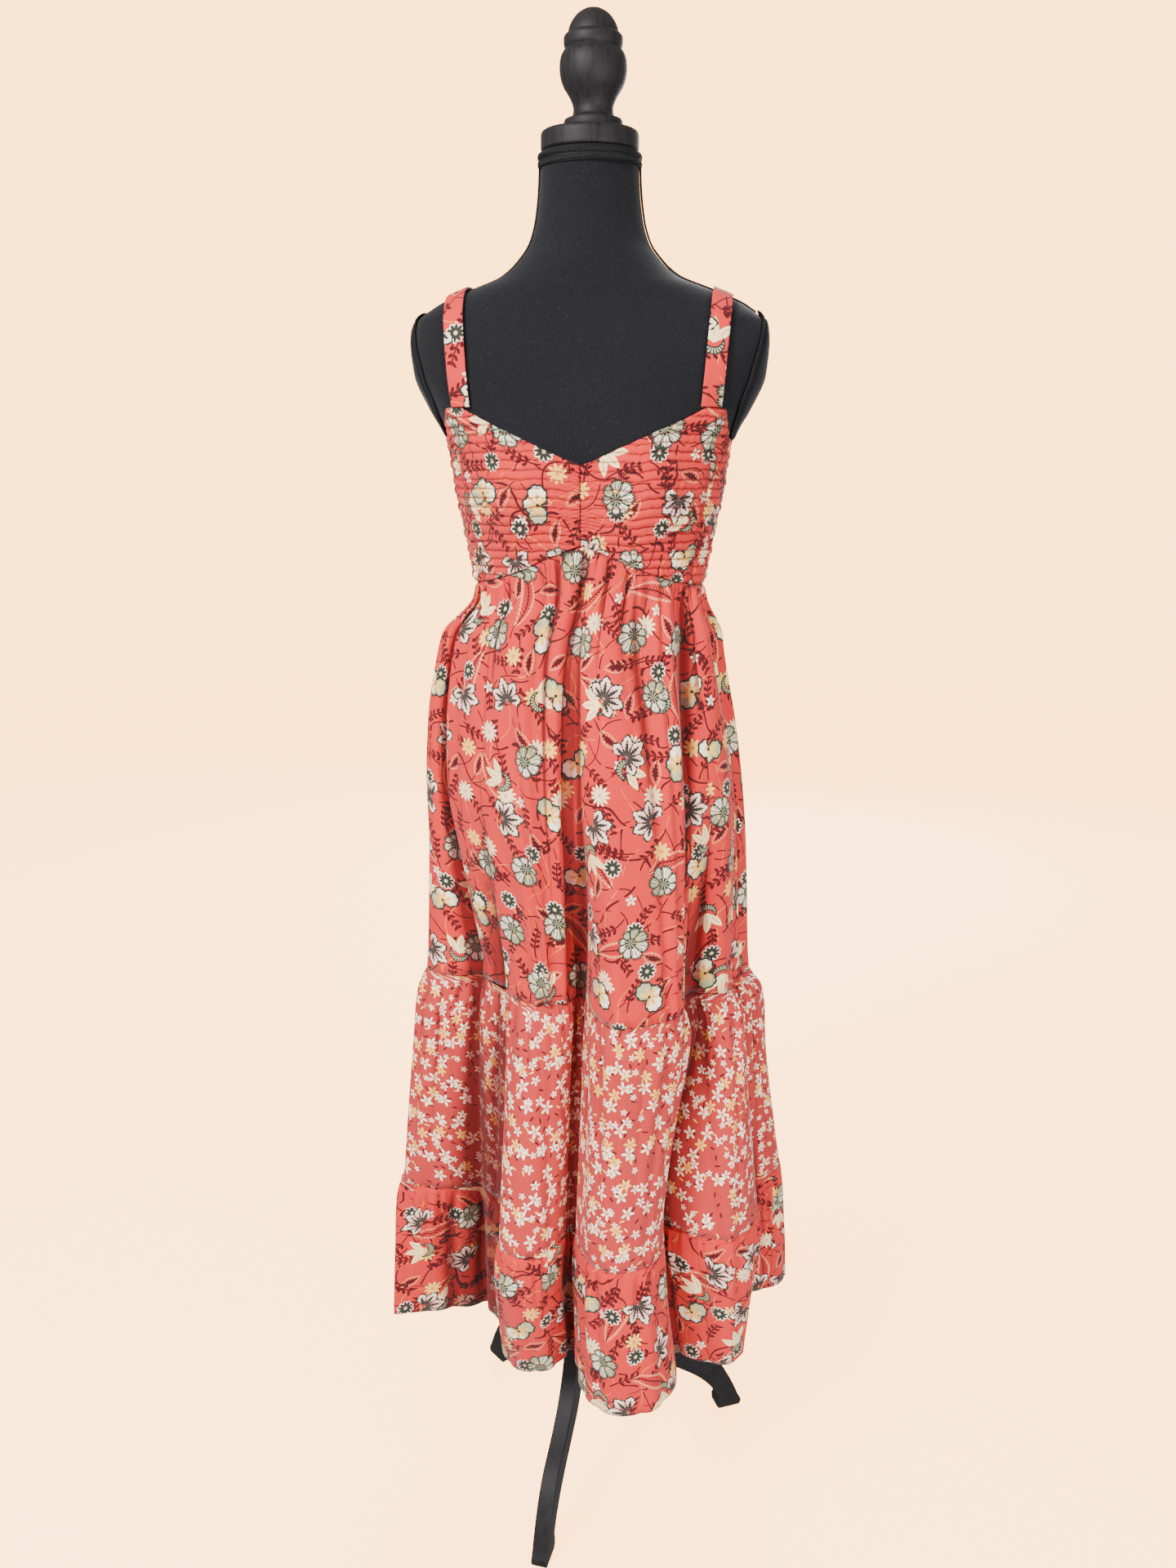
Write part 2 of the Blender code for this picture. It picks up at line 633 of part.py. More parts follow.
def tier_face(tier, top, entries):
    """Outer face of one tier all round, from its hem to its seam."""
    grid = []
    for i in range(tier.rows + 1):
        share = (i / tier.rows) ** 0.85
        row = []
        for j, entry in enumerate(entries):
            high = top(flute_at(entry, TIER_TOP_SEAM)[0])
            low = tier.bottom + (SEAM_GAP if tier.bottom > HEM else 0.0)
            height = low + (high - low) * share
            fade = max(0.0, 1.0 - (high - height) / tier.gather_reach)
            gather = tier.gather * fade * (1.0 if j % 2 else -1.0)
            point, degrees = skirt_point(entry, height, gather)
            row.append(clear_of_torso(point, degrees, height, high - height))
        grid.append(row)
    return grid


def cut_half(grid, first, last):
    """Columns first to last of a closed grid, with both ends drawn in at the side seams."""
    count = len(grid[0])
    result = []
    for row in grid:
        line = [row[k % count] for k in range(first, last + 1)]
        start = moved(line[0], unit(minus(line[1], line[0])), SEAM_GAP / 2)
        stop = moved(line[-1], unit(minus(line[-2], line[-1])), SEAM_GAP / 2)
        result.append([start] + line[1:-1] + [stop])
    return result


def build_skirt():
    entries = flute_columns()
    count = len(entries)
    bearings = [flute_at(entry, TIER_LOW_SEAM)[0] for entry in entries]
    left = min(range(count), key=lambda k: abs(bearings[k]))
    right = min(range(count), key=lambda k: abs(bearings[k] - 180.0))
    halves = (("back", left, right), ("front", right, left + count))
    tops = {
        "tier_1": lambda bearing: waist_height(bearing % 360.0) - SEAM_GAP,
        "tier_2": lambda bearing: TIER_TOP_SEAM,
        "tier_3": lambda bearing: TIER_LOW_SEAM,
    }
    for tier in TIERS:
        face = tier_face(tier, tops[tier.name], entries)
        normals = grid_normals(face, closed=True)
        inner = [[moved(p, unit((n[0], n[1], 0.0)), -CLOTH_WALL) for p, n in zip(row, line)]
                 for row, line in zip(face, normals)]
        for half, first, last in halves:
            add_shell(tier.name + "_" + half, cut_half(face, first, last),
                      cut_half(inner, first, last))


def build_stand():
    add_turned("stand_hub", HUB_PROFILE, 0.0, 0.0, 32)
    rings = []
    for height in (POLE_BOTTOM, TORSO_BOTTOM - 0.0003):
        rings.append([(POLE_RADIUS * math.cos(2 * math.pi * k / 20),
                       POLE_RADIUS * math.sin(2 * math.pi * k / 20), height)
                      for k in range(20)])
    add_loft("stand_pole", rings)
    outline = LEG_TOP_EDGE + LEG_LOW_EDGE[::-1]
    for leg in LEGS:
        c, s = math.cos(math.radians(leg.angle)), math.sin(math.radians(leg.angle))
        rings = []
        for side in (-0.5, 0.5):
            rings.append([(r * c - side * LEG_BOARD * s, r * s + side * LEG_BOARD * c, z)
                          for r, z in outline])
        add_loft(leg.name, rings)


def main():
    for item in list(bpy.data.objects):
        bpy.data.objects.remove(item, do_unlink=True)
    build_torso()
    build_neck_trim()
    build_arm_plate("form_arm_plate_left", 1.0)
    build_arm_plate("form_arm_plate_right", -1.0)
    build_bodice()
    build_strap("strap_left", 1.0, 0.000)
    build_strap("strap_right", -1.0, 0.004)
    build_skirt()
    build_stand()


if __name__ == "__main__":
    main()
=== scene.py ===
"""The looks of a tiered floral dress on a limbless dress form.

Metres, Z up.  The front of the dress faces -Y and the stand's pole is on the origin.
The shapes repeat the named values of the construction solids, with finer folds on top.
"""

import logging
import math
from dataclasses import dataclass
from dataclasses import field
from enum import Enum
from typing import Any
from typing import Sequence

import bpy
import numpy as np
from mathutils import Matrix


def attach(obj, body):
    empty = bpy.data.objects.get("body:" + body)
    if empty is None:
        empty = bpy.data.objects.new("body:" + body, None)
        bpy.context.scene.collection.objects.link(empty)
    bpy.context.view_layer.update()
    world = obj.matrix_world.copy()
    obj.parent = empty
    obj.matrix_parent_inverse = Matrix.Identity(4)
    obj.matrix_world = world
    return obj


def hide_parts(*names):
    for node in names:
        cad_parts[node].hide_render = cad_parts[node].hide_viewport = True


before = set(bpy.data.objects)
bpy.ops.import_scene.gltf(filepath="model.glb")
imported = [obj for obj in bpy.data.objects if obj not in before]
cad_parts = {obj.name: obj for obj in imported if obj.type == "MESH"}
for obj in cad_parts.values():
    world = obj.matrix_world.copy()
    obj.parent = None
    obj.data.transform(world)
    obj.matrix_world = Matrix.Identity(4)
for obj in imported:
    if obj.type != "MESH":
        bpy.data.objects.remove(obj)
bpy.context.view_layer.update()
LOG = logging.getLogger("tiered_dress")

TAU = 2.0 * math.pi
TORSO_Y = 0.020
SEAM_GAP = 0.0003
CLOTH_WALL = 0.0012
CLOTH_UV = "cloth"
CREASE_SHADE = "crease_shade"
CENTRE_FRONT = 270.0
LEVEL = np.array([1.0, 1.0, 0.0])
INK_EDGE = 2600.0
OVAL_EDGE = 5.0

Colour = tuple[float, float, float, float]


def tone(red: int, green: int, blue: int) -> Colour:
    """Turn a colour on the 0 to 255 display scale into a linear one.

    Args:
        red: Red part.
        green: Green part.
        blue: Blue part.

    Returns:
        Linear red, green, blue and a full alpha.
    """
    parts = [part / 255.0 for part in (red, green, blue)]
    line = [p / 12.92 if p <= 0.04045 else ((p + 0.055) / 1.055) ** 2.4 for p in parts]
    return (line[0], line[1], line[2], 1.0)


class Slot(Enum):
    """Material slots that the record names."""

    FLORAL = "floral_cloth"
    SMALL_PRINT = "small_print_cloth"
    JERSEY = "jersey"
    BRAID = "braid"
    WOOD = "painted_wood"
    POLE = "pole_metal"


class Curve:
    """A smooth curve through given points that never swings past them."""

    def __init__(self, xs: Sequence[float], ys: Any) -> None:
        """Work out the curve's slopes.

        Args:
            xs: Places along the curve, rising or falling.
            ys: Values there, one each or one row of values each.
        """
        order = np.argsort(np.asarray(xs, float))
        self.xs = np.asarray(xs, float)[order]
        self.ys = np.asarray(ys, float)[order]
        steps = np.diff(self.xs)
        if self.ys.ndim == 2:
            steps = steps[:, None]
        slopes = np.diff(self.ys, axis=0) / steps
        before, after = slopes[:-1], slopes[1:]
        total = np.where(before + after == 0.0, 1.0, before + after)
        inner = np.where(before * after > 0.0, 2.0 * before * after / total, 0.0)
        self.tangents = np.concatenate([slopes[:1], inner, slopes[-1:]])

    def __call__(self, x: Any) -> np.ndarray:
        """Read the curve.

        Args:
            x: Places to read; its last axis runs along the rows of values, if there are any.

        Returns:
            The values there.
        """
        x = np.clip(np.asarray(x, float), self.xs[0], self.xs[-1])
        i = np.clip(np.searchsorted(self.xs, x, side="right") - 1, 0, len(self.xs) - 2)
        pick = (i,) if self.ys.ndim == 1 else (i, np.arange(self.ys.shape[1]))
        after = (i + 1,) if self.ys.ndim == 1 else (i + 1, np.arange(self.ys.shape[1]))
        h = self.xs[i + 1] - self.xs[i]
        t = (x - self.xs[i]) / h
        return ((1 + 2 * t) * (1 - t) ** 2 * self.ys[pick]
                + t * (1 - t) ** 2 * h * self.tangents[pick]
                + t * t * (3 - 2 * t) * self.ys[after]
                + t * t * (t - 1) * h * self.tangents[after])


def smooth_step(x: np.ndarray, low: float, high: float) -> np.ndarray:
    """Rise smoothly from 0 at low to 1 at high."""
    t = np.clip((x - low) / (high - low), 0.0, 1.0)
    return t * t * (3.0 - 2.0 * t)


def unit(vectors: np.ndarray) -> np.ndarray:
    """Scale vectors to length one."""
    size = np.linalg.norm(vectors, axis=-1, keepdims=True)
    return vectors / np.where(size == 0.0, 1.0, size)


def run_length(points: np.ndarray) -> np.ndarray:
    """Measure the way along each line of points.

    Args:
        points: Points of one line, or of a line for each row.

    Returns:
        The length from the line's start to each point.
    """
    steps = np.linalg.norm(np.diff(points, axis=-2), axis=-1)
    return np.concatenate([np.zeros_like(steps[..., :1]), np.cumsum(steps, axis=-1)], axis=-1)


def grid_normals(grid: np.ndarray, closed: bool = False) -> np.ndarray:
    """Find the outward directions of a grid whose columns run anticlockwise from above.

    Args:
        grid: Points as rows, columns and 3.
        closed: Whether the last column meets the first.

    Returns:
        One unit vector for each point.
    """
    if closed:
        along = np.roll(grid, -1, axis=1) - np.roll(grid, 1, axis=1)
    else:
        along = np.gradient(grid, axis=1)
    return unit(np.cross(along, np.gradient(grid, axis=0)))


def pipes(places: np.ndarray, spacing: float, depth: float, seed: int) -> np.ndarray:
    """Lay uneven rounded pipes with tight valleys between them side by side.

    Args:
        places: Where to read the pipes, in metres along the cloth.
        spacing: Middle width of a pipe.
        depth: Middle height of a pipe.
        seed: Seed of the uneven widths and heights.

    Returns:
        Height of the cloth at each place, from 0 in a valley.
    """
    chance = np.random.default_rng(seed)
    low, high = float(places.min()) - spacing, float(places.max()) + spacing
    count = int((high - low) / spacing * 1.6) + 8
    widths = spacing * chance.uniform(0.55, 1.55, count)
    starts = low + np.concatenate([[0.0], np.cumsum(widths)[:-1]])
    heights = depth * chance.uniform(0.35, 1.45, count)
    index = np.clip(np.searchsorted(starts, places, side="right") - 1, 0, count - 1)
    share = np.clip((places - starts[index]) / widths[index], 0.0, 1.0)
    return heights[index] * np.sin(math.pi * share) ** 0.85


def waves(places: np.ndarray, spacing: float, seed: int, parts: int = 5) -> np.ndarray:
    """Add a few uneven sine waves, between about -1 and 1."""
    chance = np.random.default_rng(seed)
    total = np.zeros_like(places)
    for _ in range(parts):
        length = spacing * chance.uniform(0.6, 1.8)
        total += np.sin(TAU * (places / length + chance.uniform())) / math.sqrt(parts)
    return total


class Value:
    """A number that varies over a surface, written as a Python expression."""

    def __init__(self, painter: "Painter", socket: Any) -> None:
        """Wrap one socket of a painter's tree."""
        self.painter = painter
        self.socket = socket

    def __add__(self, other: Any) -> "Value":
        """Add."""
        return self.painter.math("ADD", self, other)

    __radd__ = __add__

    def __sub__(self, other: Any) -> "Value":
        """Subtract."""
        return self.painter.math("SUBTRACT", self, other)

    def __rsub__(self, other: Any) -> "Value":
        """Subtract from a number."""
        return self.painter.math("SUBTRACT", other, self)

    def __mul__(self, other: Any) -> "Value":
        """Multiply."""
        return self.painter.math("MULTIPLY", self, other)

    __rmul__ = __mul__

    def __truediv__(self, other: Any) -> "Value":
        """Divide."""
        return self.painter.math("DIVIDE", self, other)

    def __rtruediv__(self, other: Any) -> "Value":
        """Divide a number."""
        return self.painter.math("DIVIDE", other, self)

    def __pow__(self, other: Any) -> "Value":
        """Raise to a power."""
        return self.painter.math("POWER", self, other)

    def __mod__(self, other: Any) -> "Value":
        """Remainder, never negative."""
        return self.painter.math("FLOORED_MODULO", self, other)

    def __abs__(self) -> "Value":
        """Drop the sign."""
        return self.painter.math("ABSOLUTE", self)

    def __gt__(self, other: Any) -> "Value":
        """Give 1 where it is more than the other."""
        return self.painter.math("GREATER_THAN", self, other)

    def __lt__(self, other: Any) -> "Value":
        """Give 1 where it is less than the other."""
        return self.painter.math("LESS_THAN", self, other)

    def ink(self, sharpness: float = INK_EDGE) -> "Value":
        """Give 1 where it is positive, with a fine soft edge."""
        return self.painter.math("MULTIPLY_ADD", self, sharpness, 0.5, clamp=True)


class Painter:
    """Builds one material's tree of nodes."""

    def __init__(self, name: str) -> None:
        """Start a material with a principled surface."""
        self.material = bpy.data.materials.new(name)
        self.material.use_nodes = True
        self.tree = self.material.node_tree
        self.tree.nodes.clear()
        self.surface = self.node("ShaderNodeBsdfPrincipled")
        out = self.node("ShaderNodeOutputMaterial")
        self.tree.links.new(self.surface.outputs["BSDF"], out.inputs["Surface"])

    def node(self, kind: str, settings: dict | None = None, inputs: dict | None = None) -> Any:
        """Add one node.

        Args:
            kind: Node type.
            settings: Its properties, set before the sockets.
            inputs: Values or links of its sockets, by name or number.

        Returns:
            The node.
        """
        item = self.tree.nodes.new(kind)
        for name, value in (settings or {}).items():
            setattr(item, name, value)
        for name, value in (inputs or {}).items():
            self.feed(item.inputs[name], value)
        return item

    def feed(self, socket: Any, value: Any) -> None:
        """Set a socket to a value, or link it."""
        value = value.socket if isinstance(value, Value) else value
        if isinstance(value, bpy.types.NodeSocket):
            self.tree.links.new(value, socket)
        elif value is not None:
            socket.default_value = value

    def math(self, operation: str, *values: Any, clamp: bool = False) -> Value:
        """Add a Math node.

        Args:
            operation: Its operation.
            values: Its one to three inputs.
            clamp: Whether the result stays between 0 and 1.

        Returns:
            The result.
        """
        settings = {"operation": operation, "use_clamp": clamp}
        item = self.node("ShaderNodeMath", settings, dict(enumerate(values)))
        return Value(self, item.outputs[0])

    def vector(self, operation: str, a: Any, b: Any = None, output: str = "Vector") -> Any:
        """Add a Vector Math node and give one of its outputs."""
        item = self.node("ShaderNodeVectorMath", {"operation": operation})
        self.feed(item.inputs[0], a)
        if b is not None:
            self.feed(item.inputs[1], b)
        return item.outputs[output]

    def mix(self, share: Any, under: Any, over: Any) -> Any:
        """Lay one colour over another by a share."""
        item = self.node("ShaderNodeMix", {"data_type": "RGBA"})
        colours = [s for s in item.inputs if s.type == "RGBA"]
        self.feed(item.inputs[0], share)
        self.feed(colours[0], under)
        self.feed(colours[1], over)
        return [s for s in item.outputs if s.type == "RGBA"][0]

    def split(self, vector: Any) -> tuple[Value, Value, Value]:
        """Take a vector's three parts."""
        item = self.node("ShaderNodeSeparateXYZ", inputs={0: vector})
        return tuple(Value(self, item.outputs[k]) for k in range(3))

    def join(self, x: Any, y: Any, z: Any = 0.0) -> Any:
        """Make a vector of three numbers."""
        return self.node("ShaderNodeCombineXYZ", inputs={0: x, 1: y, 2: z}).outputs[0]

    def object_place(self) -> Any:
        """Place on the piece, in metres of the shared frame."""
        return self.node("ShaderNodeTexCoord").outputs["Object"]

    def cloth_place(self) -> Any:
        """Place on the flat cloth, in metres."""
        return self.node("ShaderNodeUVMap", {"uv_map": CLOTH_UV}).outputs[0]

    def noise(self, place: Any, scale: float, detail: float = 2.0, rough: float = 0.5) -> Value:
        """Add a Noise Texture and give its number."""
        item = self.node("ShaderNodeTexNoise", inputs={
            "Vector": place, "Scale": scale, "Detail": detail, "Roughness": rough})
        return Value(self, item.outputs[0])

    def bump(self, height: Value, strength: float, distance: float, under: Any = None) -> Any:
        """Add a Bump node over another one."""
        item = self.node("ShaderNodeBump", inputs={
            "Height": height, "Strength": strength, "Distance": distance})
        if under is not None:
            self.feed(item.inputs["Normal"], under)
        return item.outputs[0]

    def finish(self, **sockets: Any) -> bpy.types.Material:
        """Set the surface's sockets, underscores for blanks, and give the material."""
        for name, value in sockets.items():
            self.feed(self.surface.inputs[name.replace("_", " ")], value)
        return self.material


INK_WHITE = tone(255, 238, 208)
INK_CREAM = tone(252, 228, 168)
INK_YELLOW = tone(250, 196, 92)
INK_ORANGE = tone(232, 120, 44)
INK_PEACH = tone(242, 146, 100)
INK_PINK = tone(240, 150, 146)
INK_SAGE = tone(176, 172, 132)
INK_OLIVE = tone(40, 43, 35)
INK_BURGUNDY = tone(72, 2, 10)
INK_HEART = tone(196, 92, 84)

# Width of a cell, its seed, jitter, share of cells with a flower, then the flower's
# radius, petals, two colours and plumpness, from the lowest layer to the top.
SMALL_FLOWERS = (
    (0.0150, 7.0, 0.50, 0.36, 0.0040, 5.0, INK_WHITE, INK_PINK, 0.23),
    (0.0260, 8.3, 0.40, 0.40, 0.0078, 6.0, INK_YELLOW, INK_ORANGE, 0.19),
    (0.0195, 2.0, 0.36, 0.40, 0.0058, 5.0, INK_WHITE, INK_HEART, 0.21),
    (0.0250, 5.7, 0.24, 0.66, 0.0082, 5.0, INK_WHITE, INK_ORANGE, 0.195))


@dataclass
class Spot:
    """The cell of a print's grid that a place is in, seen from its own motif."""

    x: Value
    y: Value
    radius: Value
    angle: Value
    chance: Value


class PrintPainter(Painter):
    """Painter of a printed cloth, with the print's motifs."""

    def __init__(self, name: str, ground: Colour) -> None:
        """Start the material and note the colour between its motifs."""
        super().__init__(name)
        self.ground = ground
        self.colour: Any = ground

    def lay(self, mask: Value, colour: Any) -> None:
        """Print a colour over what is there, where the mask is 1."""
        self.colour = self.mix(mask, self.colour, colour)

    def distance(self, x: Value, y: Value) -> Value:
        """Measure how far a place is from a middle."""
        return Value(self, self.vector("LENGTH", self.join(x, y), output="Value"))

    def polar(self, x: Value, y: Value, chance: Value) -> Spot:
        """Look at a place from a motif's middle."""
        return Spot(x, y, self.distance(x, y), self.math("ARCTAN2", y, x), chance)

    def spot(self, size: float, seed: float, jitter: float, turn: float = TAU) -> Spot:
        """Find the motif cell of a place.

        Args:
            size: Width of a cell.
            seed: Number that sets this grid's chances apart from others.
            jitter: Share of a cell by which a motif may leave its middle.
            turn: Range over which motifs are turned.

        Returns:
            The place as the cell's motif sees it.
        """
        x, y, _ = self.split(self.cloth_place())
        row = y / size + seed * 0.37
        level = self.math("FLOOR", row)
        shifted = x / size + level * 0.38 + seed * 0.61
        side = self.math("FLOOR", shifted)
        dice = self.node("ShaderNodeTexWhiteNoise", {"noise_dimensions": "3D"},
                         {"Vector": self.join(side, level, seed)})
        red, green, blue = self.split(dice.outputs["Color"])
        chance = Value(self, dice.outputs["Value"])
        own_x = (shifted - side - 0.5 - (red - 0.5) * jitter) * size
        own_y = (row - level - 0.5 - (green - 0.5) * jitter) * size
        turned = self.node("ShaderNodeVectorRotate", {"rotation_type": "Z_AXIS"},
                           {"Vector": self.join(own_x, own_y), "Angle": blue * turn})
        px, py, _ = self.split(turned.outputs[0])
        return self.polar(px, py, chance)

    def petals(self, spot: Spot, count: float) -> tuple[Value, Value, Value]:
        """Look at a place from its nearest petal.

        Args:
            spot: The place, seen from the motif.
            count: How many petals go round.

        Returns:
            The place along the petal, across it, and its share of the way over to the next.
        """
        over = (spot.angle * (count / TAU) + 0.5) % 1.0 - 0.5
        turn = over * (TAU / count)
        along = spot.radius * self.math("COSINE", turn)
        return along, abs(spot.radius * self.math("SINE", turn)), abs(over) * 2.0

    def between(self, value: Value, low: float, high: float) -> Value:
        """Give 1 where a chance lies between two numbers."""
        return (value > low) * (value < high)

    def teeth(self, place: Value, step: float, depth: float) -> Value:
        """Give a row of small pointed teeth along a line."""
        return abs((place / step) % 1.0 - 0.5) * (2.0 * depth)

    def shape(self, edge: Value, chosen: Value, line: float, fill: Any,
              ink: Colour = INK_OLIVE) -> Value:
        """Lay a filled shape with an even line round it.

        Args:
            edge: Distance inside the shape's edge.
            chosen: Whether the motif is there.
            line: Width of the line.
            fill: Colour of the shape.
            ink: Colour of the line.

        Returns:
            The shape's mask.
        """
        self.lay((edge + line).ink() * chosen, ink)
        inside = edge.ink() * chosen
        self.lay(inside, fill)
        return inside

    def leaf_flower(self, spot: Spot, chosen: Value, length: float) -> None:
        """Draw a fan of five pointed petals with a toothed outline and dark flames.

        Args:
            spot: The place, seen from the motif.
            chosen: Whether the motif is there.
            length: Length of the middle petal.
        """
        along, across, _ = self.petals(spot, 7.2)
        fan = (abs(spot.angle) < 2.18) * chosen
        reach = self.math("COSINE", spot.angle * 0.85) * (0.22 * length) + 0.78 * length
        share = along / reach
        room = self.math("MINIMUM", share * (1.0 - share) * (1.04 * length), along * 0.43)
        edge = self.math("MAXIMUM", room - across, length * 0.12 - spot.radius)
        far = share > 0.42
        edge = edge + self.teeth(along + across * 0.5, 0.0032, 0.0014) * far - 0.0010
        light = self.mix(share * 1.3 - 0.35, INK_PINK, INK_WHITE)
        inside = self.shape(edge, fan, 0.0022, light)
        flame = share * (0.76 - share) * (0.40 * length) - across
        flame = flame + self.teeth(along, 0.0036, 0.0009) * (share > 0.2)
        self.lay(flame.ink() * inside, INK_OLIVE)

    def fan_flower(self, spot: Spot, chosen: Value, size: float) -> None:
        """Draw a fringed flower of eight wide petals round a dark core that sits to one side.

        Args:
            spot: The place, seen from the motif.
            chosen: Whether the motif is there.
            size: Middle radius.
        """
        _, _, over = self.petals(spot, 8.0)
        wide = self.math("COSINE", spot.angle) * (size * 0.22) + size * 0.86
        nick = self.teeth(spot.angle, 0.131, 0.0030)
        edge = wide - over * over * over * (size * 0.22) + nick - spot.radius
        split = spot.radius * self.math("SINE", (1.0 - over) * (math.pi / 8.0)) - 0.0008
        split = self.math("MAXIMUM", split, size * 0.40 - spot.radius)
        light = self.mix(spot.y / size + 0.35, INK_WHITE, INK_SAGE)
        self.lay((edge + 0.0016).ink() * chosen, INK_OLIVE)
        inner = self.math("MINIMUM", edge - 0.0016, split)
        inside = inner.ink() * chosen
        self.lay(inside, light)
        ribs = (self.math("SINE", spot.angle * 24.0 + 0.8) - 0.20).ink(6.0)
        ribs = ribs * (spot.radius > size * 0.50) * (edge > size * 0.16) * inside
        self.lay(ribs * 0.75, INK_OLIVE)
        warm = size * 0.20 - self.distance(spot.x - size * 0.24, spot.y - size * 0.24)
        self.lay(warm.ink(420.0) * inside, INK_YELLOW)
        core = size * 0.34 - spot.radius + self.teeth(spot.angle, 0.26, 0.0026)
        self.lay(core.ink() * chosen, INK_OLIVE)
        rays = (self.math("SINE", spot.angle * 9.0) - 0.55).ink(OVAL_EDGE) * (core > 0.0012)
        self.lay(rays * chosen, INK_SAGE)

    def pansy(self, spot: Spot, chosen: Value, size: float) -> None:
        """Draw a flower of scalloped lobes with an orange heart.

        Args:
            spot: The place, seen from the motif.
            chosen: Whether the motif is there.
            size: Radius.
        """
        lobe = size * 0.52 - self.distance(abs(spot.x) - size * 0.52, spot.y)
        small = size * 0.44 - self.distance(spot.x * 1.1, spot.y - size * 0.36)
        scallop = abs(self.math("SINE", spot.angle * 8.0)) * (size * 0.07)
        edge = self.math("MAXIMUM", lobe, small) + scallop
        half = self.math("MULTIPLY", spot.x / size * 5.0 + 0.5, 1.0, clamp=True)
        light = self.mix(half, INK_SAGE, INK_WHITE)
        inside = self.shape(edge - 0.0014, chosen, 0.0024, light)
        lobes = abs(abs(lobe - small) - 0.0002)
        self.lay((0.0004 - lobes).ink() * inside, INK_OLIVE)
        ray = abs(self.math("COSINE", spot.angle * 3.5)) * (size * 0.50) + size * 0.16
        self.lay((ray - spot.radius).ink(700.0) * inside, INK_YELLOW)
        vein = (abs(self.math("SINE", spot.angle * 3.5)) * -1.0 + 0.20).ink(12.0)
        vein = vein * (spot.radius < size * 0.48) * inside
        self.lay(vein, INK_ORANGE)
        self.lay((size * 0.10 - spot.radius).ink() * chosen, INK_OLIVE)

    def star_flower(self, spot: Spot, chosen: Value, size: float) -> None:
        """Draw a white flower with a dark ten-pointed star on it.

        Args:
            spot: The place, seen from the motif.
            chosen: Whether the motif is there.
            size: Radius.
        """
        along, across, over = self.petals(spot, 10.0)
        edge = size - over * over * (size * 0.24) - spot.radius
        light = self.mix(spot.y / size, INK_WHITE, INK_PINK)
        self.lay(edge.ink() * chosen, light)
        share = along / (size * 0.96)
        point = share * (1.0 - share) * (size * 0.66) - across
        self.lay(point.ink() * chosen, INK_OLIVE)
        heart = size * 0.24 - over * (size * 0.14) - spot.radius
        self.lay(heart.ink() * chosen, INK_CREAM)

    def daisy(self, spot: Spot, chosen: Value, size: float, count: float, fill: Any,
              heart: Colour, plump: float = 0.19, line: Colour | None = None) -> None:
        """Draw a flower of separate oval petals round a small heart.

        Args:
            spot: The place, seen from the motif.
            chosen: Whether the motif is there.
            size: Radius.
            count: How many petals go round.
            fill: Colour of the petals.
            heart: Colour of the heart and the petals' ribs.
            plump: Half the petals' width, as a share of the radius.
            line: Colour of an outline, if there is one.
        """
        along, across, _ = self.petals(spot, count)
        oval = 1.0 - ((along - size * 0.58) / (size * 0.43)) ** 2.0 - (
            across / (size * plump)) ** 2.0
        if line is not None:
            self.lay((oval + 0.30).ink(OVAL_EDGE) * chosen, line)
        self.lay(oval.ink(OVAL_EDGE) * chosen, fill)
        rib = (0.00028 - across).ink(5000.0) * (along < size * 0.62) * oval.ink(OVAL_EDGE)
        self.lay(rib * chosen * 0.6, heart)
        self.lay((size * 0.17 - spot.radius).ink() * chosen, heart)

    def tulip(self, spot: Spot, chosen: Value, size: float) -> None:
        """Draw a half-open bud of pale petals over a dark crescent.

        Args:
            spot: The place, seen from the motif.
            chosen: Whether the motif is there.
            size: Length of the petals.
        """
        along, across, _ = self.petals(spot, 9.0)
        fan = (abs(spot.angle) < 1.05) * chosen
        share = along / size
        edge = share * (1.0 - share) * (size * 0.66) - across
        self.shape(edge, fan, 0.0006, INK_CREAM, INK_ORANGE)
        rib = (0.0006 - across).ink() * fan * self.between(share, 0.3, 0.8)
        self.lay(rib, INK_PEACH)
        hollow = self.distance(spot.x - size * 0.20, spot.y) - size * 0.36
        moon = self.math("MINIMUM", size * 0.40 - spot.radius, hollow)
        self.lay((moon + 0.0008).ink() * chosen, INK_OLIVE)
        rays = (self.math("SINE", spot.angle * 18.0) + 0.1).ink(OVAL_EDGE)
        self.lay((moon - 0.0006).ink() * rays * chosen, INK_SAGE)

    def feather(self, spot: Spot, chosen: Value, length: float, width: float) -> None:
        """Draw a long leaf with a combed pale edge and a dark red rib.

        Args:
            spot: The place, seen from the motif.
            chosen: Whether the motif is there.
            length: Length of the leaf.
            width: Half its greatest width.
        """
        bent = abs(spot.y - spot.x * spot.x * 6.0 + 0.003)
        share = spot.x / length + 0.5
        edge = share * (1.0 - share) * (4.0 * width) - bent
        comb = self.teeth(spot.x - bent, 0.0034, 0.0022)
        near = (abs(spot.x) < length * 0.5) * chosen
        self.lay((edge + comb).ink() * near, INK_PEACH)
        inside = (edge - 0.0020 + comb).ink() * near
        self.lay(inside, self.ground)
        ribs = ((spot.x - bent * 1.2) / 0.0042) % 1.0
        veins = (ribs < 0.28) * (edge - 0.0018).ink() * near
        self.lay(veins, INK_BURGUNDY)
        self.lay((0.0008 - bent).ink() * near, INK_BURGUNDY)

